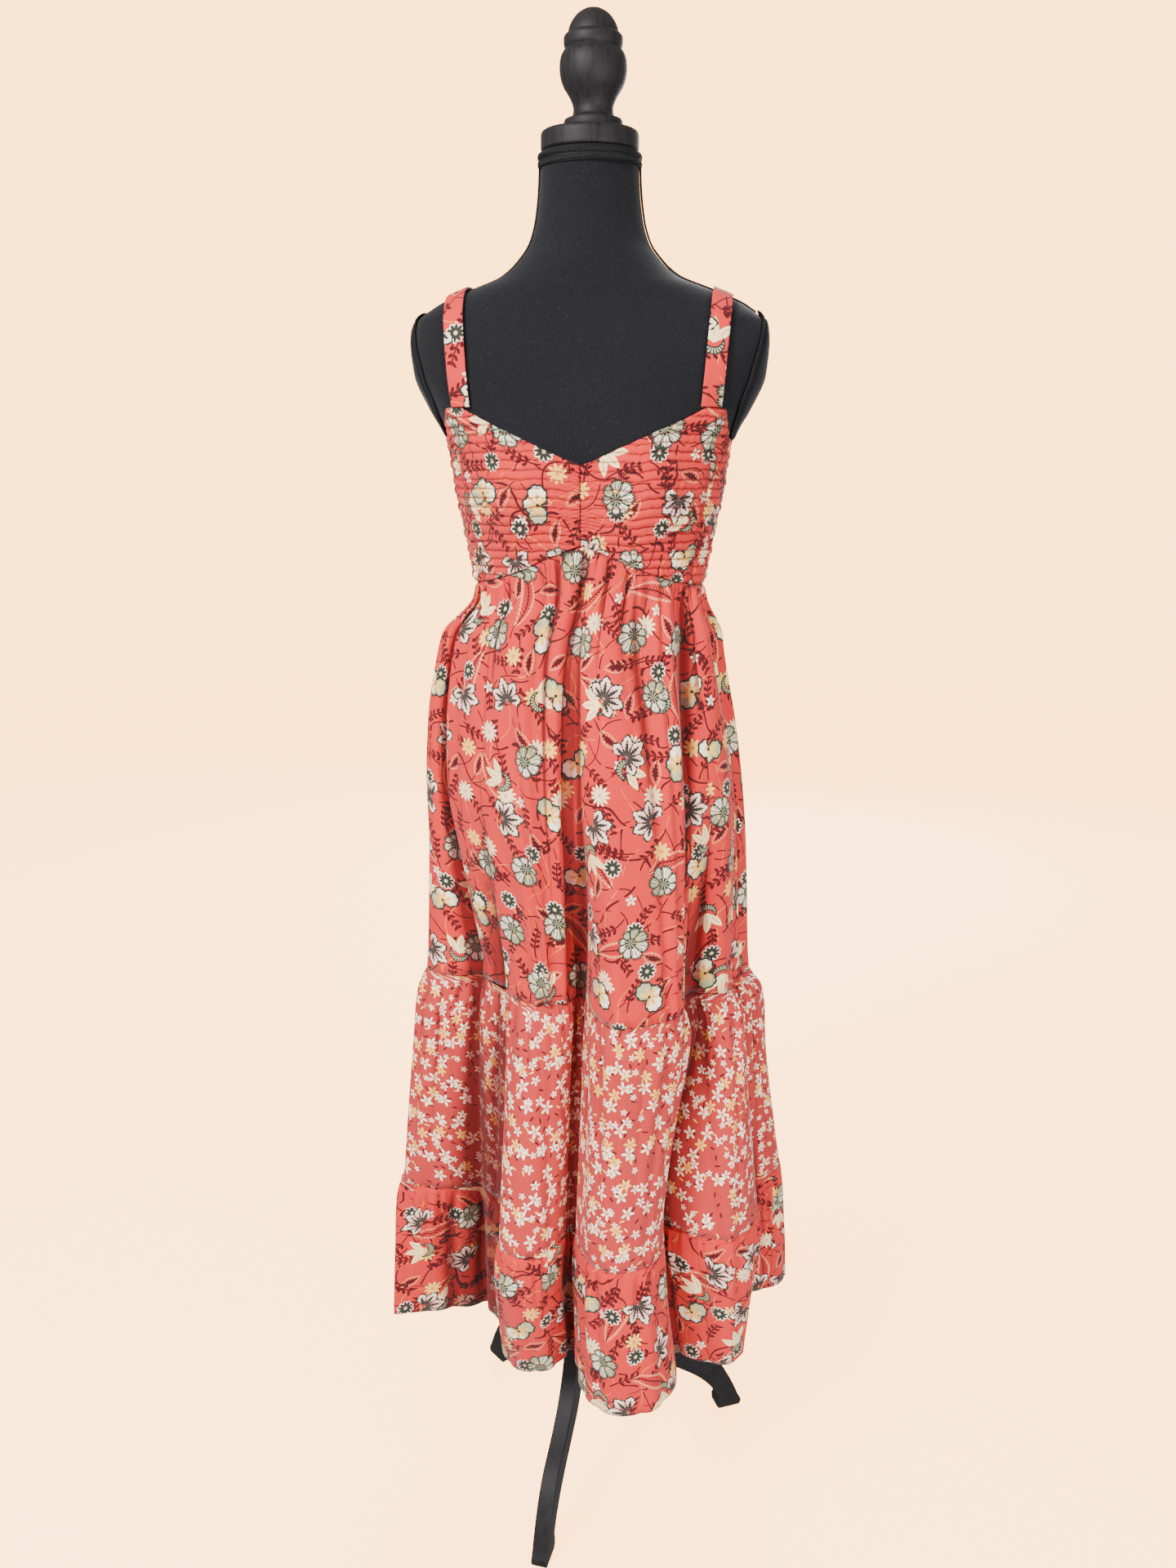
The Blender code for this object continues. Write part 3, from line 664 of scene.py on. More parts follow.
    def leaf(self, spot: Spot, chosen: Value, length: float, width: float,
             line: Colour) -> None:
        """Draw a leaf's outline with a dark middle and pale veins.

        Args:
            spot: The place, seen from the motif.
            chosen: Whether the motif is there.
            length: Length of the leaf.
            width: Half its greatest width.
            line: Colour of the outline.
        """
        bent = abs(spot.y - spot.x * spot.x * 9.0)
        share = spot.x / length + 0.5
        edge = share * (1.0 - share) * (4.0 * width) - bent
        near = (abs(spot.x) < length * 0.5) * chosen
        self.lay((0.00055 - abs(edge)).ink() * near, line)
        ribs = ((spot.x - bent * 1.4) / 0.0044) % 1.0
        self.lay((ribs < 0.30) * (edge - 0.0012).ink() * near, INK_PEACH)
        dark = (edge - width * 0.62 + self.teeth(spot.x, 0.0040, 0.0016)).ink() * near
        self.lay(dark, INK_BURGUNDY)
        stalk = (0.0006 - bent).ink() * (abs(spot.x + length * 0.2) < length * 0.6) * chosen
        self.lay(stalk, INK_BURGUNDY)

    def sprig(self, spot: Spot, chosen: Value, length: float, pair: float,
              colour: Colour) -> None:
        """Draw a bent stem with paired oval leaves on its far half.

        Args:
            spot: The place, seen from the motif.
            chosen: Whether the motif is there.
            length: Length of the stem.
            pair: Distance from one pair of leaves to the next.
            colour: Colour of stem and leaves.
        """
        bent = abs(spot.y + spot.x * spot.x * 9.0 - 0.003)
        near = (abs(spot.x) < length / 2.0) * chosen
        self.lay((0.00085 - bent).ink() * near, colour)
        step = ((spot.x / pair) % 1.0 - 0.5) * pair
        out = bent - pair * 0.46
        long = (out + step) / (pair * 0.62)
        short = (out - step) / (pair * 0.34)
        blade = (1.0 - long * long - short * short).ink(OVAL_EDGE)
        leafy = near * (spot.x > -length * 0.16)
        self.lay(blade * leafy, colour)

    def stems(self, turn: float, gap: float, width: float, colour: Colour) -> None:
        """Draw long wavy stems that wander over the cloth and break off here and there.

        Args:
            turn: Direction of the stems.
            gap: Distance from one stem to the next.
            width: Half a stem's width.
            colour: Their colour.
        """
        turned = self.node("ShaderNodeVectorRotate", {"rotation_type": "Z_AXIS"},
                           {"Vector": self.cloth_place(), "Angle": turn}).outputs[0]
        x, y, _ = self.split(turned)
        wander = self.noise(turned, 13.0, 0.0)
        bent = y + self.math("SINE", x * (TAU / 0.071)) * 0.0085 + wander * 0.075
        away = abs((bent / gap) % 1.0 - 0.5) * gap
        parts = (self.math("SINE", wander * 55.0 + x * 31.0) + 0.60).ink(14.0)
        self.lay((width - away).ink() * parts, colour)

    def large_print(self) -> None:
        """Lay out the large flowers, buds, sprigs and stems over the ground."""
        self.stems(0.5, 0.040, 0.00105, INK_BURGUNDY)
        self.stems(2.1, 0.062, 0.00060, INK_ORANGE)
        self.stems(-0.8, 0.046, 0.00105, INK_BURGUNDY)
        spot = self.spot(0.041, 3.0, 0.18)
        self.leaf(spot, spot.chance < 0.30, 0.0290, 0.0060, INK_PEACH)
        self.sprig(spot, spot.chance > 0.34, 0.0390, 0.0072, INK_BURGUNDY)
        spot = self.spot(0.053, 12.5, 0.20)
        self.sprig(spot, spot.chance < 0.60, 0.0440, 0.0080, INK_BURGUNDY)
        spot = self.spot(0.098, 9.0, 0.30)
        self.feather(spot, spot.chance < 0.62, 0.0640, 0.0080)
        spot = self.spot(0.055, 5.0, 0.50)
        self.daisy(spot, spot.chance < 0.26, 0.0066, 5.0, INK_WHITE, INK_ORANGE, 0.24,
                   INK_OLIVE)
        self.daisy(spot, self.between(spot.chance, 0.26, 0.60), 0.0110, 9.0, INK_YELLOW,
                   INK_ORANGE, 0.17)
        spot = self.spot(0.067, 6.4, 0.36)
        self.star_flower(spot, spot.chance < 0.54, 0.0112)
        self.daisy(spot, self.between(spot.chance, 0.56, 0.84), 0.0124, 12.0, INK_CREAM,
                   INK_PINK, 0.13)
        spot = self.spot(0.086, 7.2, 0.34)
        self.tulip(spot, spot.chance < 0.46, 0.0270)
        spot = self.spot(0.068, 1.0, 0.18)
        self.fan_flower(spot, spot.chance < 0.28, 0.0185)
        self.pansy(spot, self.between(spot.chance, 0.28, 0.52), 0.0190)
        self.leaf_flower(spot, self.between(spot.chance, 0.52, 0.90), 0.0265)

    def small_print(self) -> None:
        """Lay out the small flowers over the ground."""
        spot = self.spot(0.0115, 4.0, 0.55)
        blade = 1.0 - (spot.x / 0.0036) ** 2.0 - (abs(spot.y) / 0.0010) ** 2.0
        self.lay(blade.ink(OVAL_EDGE) * (spot.chance < 0.42), INK_BURGUNDY)
        self.lay(blade.ink(OVAL_EDGE) * (spot.chance > 0.86), INK_YELLOW)
        for cell, seed, jitter, share, size, count, fill, heart, plump in SMALL_FLOWERS:
            spot = self.spot(cell, seed, jitter)
            self.daisy(spot, spot.chance < share, size, count, fill, heart, plump)


@dataclass(frozen=True)
class PrintedCloth:
    """Light woven cloth with a printed pattern."""

    name: str
    ground: Colour
    shade: Colour
    small: bool = False
    roughness: float = 0.80
    weave: float = 0.0009

    def build(self) -> bpy.types.Material:
        """Make the cloth's material: print, painted shade in the creases, weave and fine
        crumples.

        Returns:
            The material.
        """
        paint = PrintPainter(self.name, self.ground)
        place = paint.object_place()
        mottle = paint.noise(place, 26.0, 3.0)
        paint.colour = paint.mix(mottle * 0.5, self.ground, self.shade)
        if self.small:
            paint.small_print()
        else:
            paint.large_print()
        # Painted shade: a per-point attribute darkens the print in folds, valleys and along
        # seams.
        crease_shade = Value(paint, paint.node("ShaderNodeAttribute", {
            "attribute_name": CREASE_SHADE}).outputs["Fac"])
        colour = paint.vector("MULTIPLY", paint.colour, paint.join(
            1.0 - crease_shade * 0.76, 1.0 - crease_shade * 0.93, 1.0 - crease_shade * 0.92))
        x, y, _ = paint.split(paint.cloth_place())
        weave = (paint.math("SINE", x * (TAU / self.weave))
                 * paint.math("SINE", y * (TAU / self.weave)))
        crush = paint.noise(place, 42.0, 4.0, 0.62)
        normal = paint.bump(crush, 0.40, 0.0030)
        normal = paint.bump(weave, 0.18, 0.00025, normal)
        return paint.finish(Base_Color=colour, Roughness=self.roughness, Normal=normal,
                            Sheen_Weight=0.10, Sheen_Roughness=0.5, Specular_IOR_Level=0.22)


@dataclass(frozen=True)
class KnitJersey:
    """Black jersey stretched over the form."""

    name: str = "black_jersey"
    colour: Colour = tone(13, 12, 16)
    rib: float = 0.0011

    def build(self) -> bpy.types.Material:
        """Make the knit's material.

        Returns:
            The material.
        """
        paint = Painter(self.name)
        place = paint.object_place()
        x, y, z = paint.split(place)
        bow = paint.math("SINE", z * (TAU / self.rib))
        wale = paint.math("SINE", (x + y * 0.8) * (TAU / self.rib))
        lint = (paint.noise(place, 900.0, 2.0) - 0.66).ink(9.0)
        cloud = paint.noise(place, 9.0, 3.0)
        base = paint.mix(cloud * 0.5, self.colour, tone(25, 25, 30))
        base = paint.mix(lint * 0.30, base, tone(70, 69, 74))
        normal = paint.bump(bow * wale, 0.22, 0.0003)
        return paint.finish(Base_Color=base, Roughness=0.88, Normal=normal,
                            Sheen_Weight=0.10, Sheen_Roughness=0.45,
                            Specular_IOR_Level=0.15)


@dataclass(frozen=True)
class WovenBraid:
    """Dark shiny thread of the plaited braid."""

    name: str = "plaited_braid"
    colour: Colour = tone(6, 6, 7)
    light: Colour = tone(16, 15, 17)
    twist: float = 0.0008

    def build(self) -> bpy.types.Material:
        """Make the braid's material."""
        paint = Painter(self.name)
        place = paint.object_place()
        x, y, z = paint.split(place)
        twist = paint.math("SINE", (x + y + z) * (TAU / self.twist))
        base = paint.mix((twist + 1.0) * 0.3, self.colour, self.light)
        return paint.finish(Base_Color=base, Roughness=0.60, Specular_IOR_Level=0.25,
                            Normal=paint.bump(twist, 0.4, 0.0002))


@dataclass(frozen=True)
class PaintedWood:
    """Dark painted wood with a faint grain and worn edges."""

    name: str = "dark_painted_wood"
    colour: Colour = tone(15, 14, 15)
    light: Colour = tone(34, 31, 32)
    upright: bool = True

    def build(self) -> bpy.types.Material:
        """Make the wood's material.

        Returns:
            The material.
        """
        paint = Painter(self.name)
        place = paint.object_place()
        stretch = (60.0, 60.0, 7.0) if self.upright else (24.0, 24.0, 24.0)
        grain = paint.noise(paint.vector("MULTIPLY", place, stretch), 3.0, 6.0, 0.65)
        pores = paint.noise(paint.vector("MULTIPLY", place, stretch), 16.0, 2.0)
        streak = (grain - 0.44).ink(5.0)
        base = paint.mix(streak * 0.65, self.colour, self.light)
        base = paint.mix((pores - 0.62).ink(14.0) * 0.4, base, tone(14, 12, 12))
        rough = 0.46 + grain * 0.24
        normal = paint.bump(grain + pores * 0.5, 0.30, 0.0006)
        return paint.finish(Base_Color=base, Roughness=rough, Normal=normal,
                            Specular_IOR_Level=0.22)


@dataclass(frozen=True)
class PoleMetal:
    """Dark burnished steel of the pole."""

    name: str = "pole_steel"

    def build(self) -> bpy.types.Material:
        """Make the steel's material."""
        paint = Painter(self.name)
        place = paint.vector("MULTIPLY", paint.object_place(), (400.0, 400.0, 6.0))
        brushed = paint.noise(place, 1.0, 3.0)
        base = paint.mix(brushed, tone(58, 56, 57), tone(104, 101, 100))
        return paint.finish(Base_Color=base, Metallic=0.9, Roughness=0.30 + brushed * 0.16)


@dataclass(frozen=True)
class PaleFloor:
    """Plain pale studio floor and wall."""

    name: str = "pale_floor"
    colour: Colour = tone(190, 180, 170)
    lit: Colour = (1.0, 0.470, 0.132, 1.0)
    glow: float = 6.7

    def build(self) -> bpy.types.Material:
        """Make the floor's material."""
        paint = Painter(self.name)
        cloud = paint.noise(paint.object_place(), 2.0, 2.0)
        base = paint.mix(cloud * 0.15, self.colour, tone(184, 174, 164))
        return paint.finish(Base_Color=base, Roughness=0.95, Specular_IOR_Level=0.1,
                            Emission_Color=self.lit, Emission_Strength=self.glow)


class Finishes:
    """Every material of the dress, its form and its stand."""

    def __init__(self) -> None:
        """Build each material once."""
        coral = tone(206, 44, 40)
        self.floral = PrintedCloth("floral_print", coral, tone(196, 36, 34)).build()
        self.small_print = PrintedCloth("small_flower_print", tone(182, 50, 47),
                                        tone(168, 40, 39), small=True).build()
        self.jersey = KnitJersey().build()
        self.braid = WovenBraid().build()
        self.wood = PaintedWood().build()
        self.leg_wood = PaintedWood("leg_painted_wood", tone(12, 11, 12), tone(29, 26, 27),
                                    upright=False).build()
        self.pole = PoleMetal().build()
        self.thread = WovenBraid("stitch_thread", tone(150, 48, 44), tone(196, 84, 76)).build()


def mesh_piece(name: str, verts: np.ndarray, faces: list, material: bpy.types.Material,
               sharp: float | None = None) -> bpy.types.Object:
    """Make an object with its place in its mesh.

    Args:
        name: Its name.
        verts: Points as a list of threes.
        faces: Corner numbers of each face.
        material: Its finish.
        sharp: Angle in degrees past which an edge stays sharp.

    Returns:
        The object, smoothly shaded.
    """
    mesh = bpy.data.meshes.new(name)
    mesh.from_pydata([tuple(map(float, v)) for v in np.reshape(verts, (-1, 3))], [], faces)
    mesh.materials.append(material)
    mesh.polygons.foreach_set("use_smooth", [True] * len(mesh.polygons))
    if sharp is not None:
        mesh.set_sharp_from_angle(angle=math.radians(sharp))
    mesh.update()
    item = bpy.data.objects.new(name, mesh)
    bpy.context.scene.collection.objects.link(item)
    return item


def grid_faces(rows: int, cols: int, closed: bool = False,
               capped: bool = False) -> list[tuple[int, ...]]:
    """List the faces of a grid whose rows go up and columns go anticlockwise.

    Args:
        rows: Its rows.
        cols: Its columns.
        closed: Whether the last column meets the first.
        capped: Whether the first and the last row are closed with a face each.

    Returns:
        The corners of each face.
    """
    faces = []
    for i in range(rows - 1):
        for j in range(cols if closed else cols - 1):
            k = (j + 1) % cols
            faces.append((i * cols + j, i * cols + k, (i + 1) * cols + k, (i + 1) * cols + j))
    if capped:
        faces.append(tuple(range(cols))[::-1])
        faces.append(tuple(range((rows - 1) * cols, rows * cols)))
    return faces


def hollows(grid: np.ndarray, out: np.ndarray, step: int, axis: int,
            closed: bool = False) -> np.ndarray:
    """Measure how deep points lie between their neighbours along one axis.

    Args:
        grid: Points as rows, columns and 3.
        out: Outward directions.
        step: How many points away the neighbours are.
        axis: 0 for the rows, 1 for the columns.
        closed: Whether the axis runs round.

    Returns:
        The depth as a share of the neighbours' distance, negative on a ridge.
    """
    size = grid.shape[axis]
    index = np.arange(size)
    before = (index - step) % size if closed else np.maximum(index - step, 0)
    after = (index + step) % size if closed else np.minimum(index + step, size - 1)
    low, high = np.take(grid, before, axis), np.take(grid, after, axis)
    gap = np.maximum(np.linalg.norm(high - low, axis=-1), 1e-6)
    return np.sum(((low + high) / 2.0 - grid) * out, axis=-1) / gap


def cloth_piece(name: str, grid: np.ndarray, flat: np.ndarray, material: bpy.types.Material,
                wall: float = CLOTH_WALL, crease_shade: np.ndarray | None = None) -> bpy.types.Object:
    """Make a walled sheet of cloth from its outer face.

    Args:
        name: Its name.
        grid: Outer face as rows, columns and 3.
        flat: Place of each point on the flat cloth, as rows, columns and 2.
        material: Its finish.
        wall: Its thickness, laid inwards.
        crease_shade: Painted shade of each point, from 0 to 1, by how deep it lies in the folds.

    Returns:
        The piece.
    """
    rows, cols = grid.shape[:2]
    item = mesh_piece(name, grid, grid_faces(rows, cols), material)
    layer = item.data.uv_layers.new(name=CLOTH_UV)
    corners = np.empty(len(item.data.loops), dtype=np.int64)
    item.data.loops.foreach_get("vertex_index", corners)
    layer.data.foreach_set("uv", flat.reshape(-1, 2)[corners].astype(np.float32).ravel())
    # Painted shade is stored on the points, for the material to darken the print with.
    if crease_shade is not None:
        depth = item.data.attributes.new(CREASE_SHADE, "FLOAT", "POINT")
        depth.data.foreach_set("value", crease_shade.astype(np.float32).ravel())
    solid = item.modifiers.new("wall", "SOLIDIFY")
    solid.thickness = wall
    solid.offset = -1.0
    return item


def settle(item: bpy.types.Object, slot: Slot, *nodes: str) -> bpy.types.Object:
    """Fix a piece to the frame and hide the solids that it stands for."""
    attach(item, "root")
    if nodes:
        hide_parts(*nodes)
    LOG.info("made %s", item.name)
    return item


class Trim(Enum):
    """Shape that is repeated along a seam."""

    STITCH = "stitch"
    STRAND = "strand"


def repeat_tree(trim: Trim, material: bpy.types.Material) -> bpy.types.NodeTree:
    """Build the tree that sets one small shape on every point of a seam.

    Args:
        trim: The shape that is repeated.
        material: Its finish.

    Returns:
        The tree, with Length and Thickness as its inputs.
    """
    tree = bpy.data.node_groups.new("repeat_" + trim.value, "GeometryNodeTree")
    tree.interface.new_socket("Geometry", in_out="INPUT", socket_type="NodeSocketGeometry")
    tree.interface.new_socket("Length", in_out="INPUT", socket_type="NodeSocketFloat")
    tree.interface.new_socket("Thickness", in_out="INPUT", socket_type="NodeSocketFloat")
    tree.interface.new_socket("Geometry", in_out="OUTPUT", socket_type="NodeSocketGeometry")
    nodes = tree.nodes
    source = nodes.new("NodeGroupInput")
    target = nodes.new("NodeGroupOutput")
    if trim is Trim.STITCH:
        shape = nodes.new("GeometryNodeMeshCylinder")
        shape.inputs["Vertices"].default_value = 5
        chain = [(source, "Thickness", shape, "Radius"), (source, "Length", shape, "Depth")]
        result = "Mesh"
    else:
        ball = nodes.new("GeometryNodeMeshUVSphere")
        ball.inputs["Segments"].default_value = 8
        ball.inputs["Rings"].default_value = 6
        ratio = nodes.new("ShaderNodeMath")
        ratio.operation = "DIVIDE"
        scale = nodes.new("ShaderNodeCombineXYZ")
        scale.inputs["X"].default_value = 1.0
        scale.inputs["Y"].default_value = 1.0
        shape = nodes.new("GeometryNodeTransform")
        chain = [(source, "Thickness", ball, "Radius"), (source, "Length", ratio, 0),
                 (source, "Thickness", ratio, 1), (ratio, "Value", scale, "Z"),
                 (ball, "Mesh", shape, "Geometry"), (scale, "Vector", shape, "Scale")]
        result = "Geometry"
    aim = nodes.new("GeometryNodeInputNamedAttribute")
    aim.data_type = "FLOAT_VECTOR"
    aim.inputs["Name"].default_value = "aim"
    turn = nodes.new("FunctionNodeAlignEulerToVector")
    turn.axis = "Z"
    place = nodes.new("GeometryNodeInstanceOnPoints")
    real = nodes.new("GeometryNodeRealizeInstances")
    finish = nodes.new("GeometryNodeSetMaterial")
    finish.inputs["Material"].default_value = material
    chain += [(aim, "Attribute", turn, "Vector"), (source, "Geometry", place, "Points"),
              (shape, result, place, "Instance"), (turn, "Rotation", place, "Rotation"),
              (place, "Instances", real, "Geometry"), (real, "Geometry", finish, "Geometry"),
              (finish, "Geometry", target, "Geometry")]
    for giver, output, taker, socket in chain:
        tree.links.new(giver.outputs[output], taker.inputs[socket])
    return tree


def repeat_along(name: str, trim: Trim, points: np.ndarray, aims: np.ndarray, length: float,
                 thickness: float, material: bpy.types.Material) -> bpy.types.Object:
    """Set a small shape on every point and give the result as one plain mesh.

    Args:
        name: Name of the piece.
        trim: The shape.
        points: Where each one sits.
        aims: Direction of each one's own axis.
        length: Length of a stitch, or half the length of a strand.
        thickness: Radius of the thread.
        material: Its finish.

    Returns:
        The piece.
    """
    base = bpy.data.meshes.new(name + "_points")
    base.from_pydata([tuple(map(float, p)) for p in points], [], [])
    aim = base.attributes.new("aim", "FLOAT_VECTOR", "POINT")
    aim.data.foreach_set("vector", aims.astype(np.float32).ravel())
    holder = bpy.data.objects.new(name + "_points", base)
    bpy.context.scene.collection.objects.link(holder)
    step = holder.modifiers.new("repeat", "NODES")
    step.node_group = repeat_tree(trim, material)
    sizes = {"Length": length, "Thickness": thickness}
    for socket in step.node_group.interface.items_tree:
        if socket.in_out == "INPUT" and socket.name in sizes:
            step[socket.identifier] = sizes[socket.name]
    graph = bpy.context.evaluated_depsgraph_get()
    mesh = bpy.data.meshes.new_from_object(holder.evaluated_get(graph))
    mesh.name = name
    holder.modifiers.remove(step)
    bpy.data.objects.remove(holder)
    mesh.polygons.foreach_set("use_smooth", [True] * len(mesh.polygons))
    item = bpy.data.objects.new(name, mesh)
    bpy.context.scene.collection.objects.link(item)
    return item


def spaced(line: np.ndarray, step: float) -> tuple[np.ndarray, np.ndarray]:
    """Put points at even steps along a line.

    Args:
        line: Points of the line.
        step: Distance between points.

    Returns:
        The points and the line's direction at each.
    """
    along = run_length(line)
    count = max(2, int(along[-1] / step))
    places = (np.arange(count) + 0.5) * along[-1] / count
    points = np.stack([np.interp(places, along, line[:, k]) for k in range(3)], axis=1)
    ahead = np.stack([np.interp(places + step / 4, along, line[:, k]) for k in range(3)], axis=1)
    behind = np.stack([np.interp(places - step / 4, along, line[:, k]) for k in range(3)], axis=1)
    return points, unit(ahead - behind)


@dataclass
class Torso:
    """The form's body: its sections and the bust."""

    sections: np.ndarray = field(default_factory=lambda: np.array([
        (0.850, 0.1500, 0.098, 0.112, 2.2), (0.900, 0.1560, 0.104, 0.122, 2.2),
        (0.950, 0.1520, 0.104, 0.118, 2.2), (1.000, 0.1360, 0.098, 0.104, 2.2),
        (1.060, 0.1190, 0.088, 0.090, 2.2), (1.110, 0.1200, 0.088, 0.090, 2.2),
        (1.165, 0.1275, 0.092, 0.094, 2.2), (1.219, 0.1375, 0.097, 0.098, 2.25),
        (1.255, 0.1450, 0.100, 0.100, 2.3), (1.290, 0.1495, 0.101, 0.102, 2.35),
        (1.315, 0.1560, 0.100, 0.103, 2.4), (1.343, 0.1715, 0.096, 0.102, 2.5),
        (1.377, 0.1855, 0.089, 0.099, 2.9), (1.411, 0.1880, 0.080, 0.093, 3.4),
        (1.430, 0.1855, 0.074, 0.088, 3.4), (1.446, 0.1675, 0.069, 0.083, 3.0),
        (1.461, 0.1345, 0.066, 0.078, 2.6), (1.477, 0.0945, 0.063, 0.072, 2.3),
        (1.494, 0.0750, 0.060, 0.066, 2.1), (1.512, 0.0625, 0.056, 0.060, 2.0),
        (1.535, 0.0560, 0.0540, 0.0560, 2.0), (1.565, 0.0525, 0.0520, 0.0530, 2.0),
        (1.600, 0.0510, 0.0510, 0.0510, 2.0)]))
    bust_rise: float = 0.020
    bust_height: float = 1.252
    bust_spread: float = 0.072
    bust_width: float = 0.042
    bust_tall: float = 0.048
    bottom: float = 0.850
    top: float = 1.5995

    def __post_init__(self) -> None:
        """Make the curves through the sections."""
        self.curves = [Curve(self.sections[:, 0], self.sections[:, k]) for k in range(1, 5)]

    def bust(self, x: np.ndarray, height: np.ndarray) -> np.ndarray:
        """How far the bust stands in front of the plain section."""
        side = (np.abs(x) - self.bust_spread) / self.bust_width
        level = (height - self.bust_height) / self.bust_tall
        return self.bust_rise * np.exp(-side * side - level * level)

    def bare(self, degrees: Any, height: Any) -> np.ndarray:
        """Give points of the bare torso at bearings and heights."""
        degrees, height = np.broadcast_arrays(np.asarray(degrees, float),
                                              np.asarray(height, float))
        half, front, back, power = (curve(height) for curve in self.curves)
        c, s = np.cos(np.radians(degrees)), np.sin(np.radians(degrees))
        x = half * np.sign(c) * np.abs(c) ** (2.0 / power)
        y = np.where(s < 0.0, front, back) * np.sign(s) * np.abs(s) ** (2.0 / power)
        y = y - np.where(s < 0.0, self.bust(x, height) * np.minimum(1.0, 3.0 * np.abs(s)), 0.0)
        return np.stack([x, TORSO_Y + y, height], axis=-1)

    def outwards(self, degrees: Any, height: Any) -> np.ndarray:
        """Give outward directions of the bare torso."""
        along = self.bare(np.asarray(degrees) + 0.5, height) - self.bare(
            np.asarray(degrees) - 0.5, height)
        up = self.bare(degrees, np.asarray(height) + 0.001) - self.bare(
            degrees, np.asarray(height) - 0.001)
        return unit(np.cross(along, up))

    def off(self, degrees: Any, height: Any, lift: Any, level: bool = False) -> np.ndarray:
        """Give points that stand off the torso.

        Args:
            degrees: Bearings.
            height: Heights.
            lift: Distance from the torso.
            level: Whether a point keeps its height.

        Returns:
            The points.
        """
        out = self.outwards(degrees, height)
        if level:
            out = unit(out * LEVEL)
        return self.bare(degrees, height) + out * np.asarray(lift)[..., None]

    def inside(self, x: np.ndarray, y: np.ndarray, height: np.ndarray) -> np.ndarray:
        """Tell whether places, measured from the torso's axis, are inside it."""
        half, front, back, power = (curve(height) for curve in self.curves)
        depth = np.where(y < 0.0, front + self.bust(x, height), back)
        return (np.abs(x) / half) ** power + (np.abs(y) / depth) ** power < 1.0

    def side(self, y: np.ndarray, height: np.ndarray, side: float, lift: Any) -> np.ndarray:
        """Give points of the side wall, moved out sideways."""
        half, front, back, power = (curve(height) for curve in self.curves)
        depth = np.where(y < 0.0, front, back)
        share = np.clip(1.0 - (np.abs(y) / depth) ** power, 0.0, 1.0)
        x = side * (half * share ** (1.0 / power) + lift)
        return np.stack([x, TORSO_Y + y, height], axis=-1)


@dataclass
class Edges:
    """Heights of the waist seam and the bodice's top, by degrees from the centre front."""

    waist: tuple = ((0, 1.202), (12, 1.190), (25, 1.177), (40, 1.166), (60, 1.158),
                    (90, 1.153), (180, 1.150))
    neck: tuple = ((0, 1.285), (10, 1.2985), (20, 1.3115), (30, 1.3245), (38, 1.3350),
                   (44.5, 1.3430), (54, 1.3430), (62, 1.3310), (75, 1.3120), (90, 1.3025),
                   (110, 1.2970), (180, 1.2950))

    def height(self, rows: tuple, degrees: Any) -> np.ndarray:
        """Read one edge's height at bearings."""
        away = np.abs((np.asarray(degrees, float) - CENTRE_FRONT + 180.0) % 360.0 - 180.0)
        return Curve([row[0] for row in rows], [row[1] for row in rows])(away)


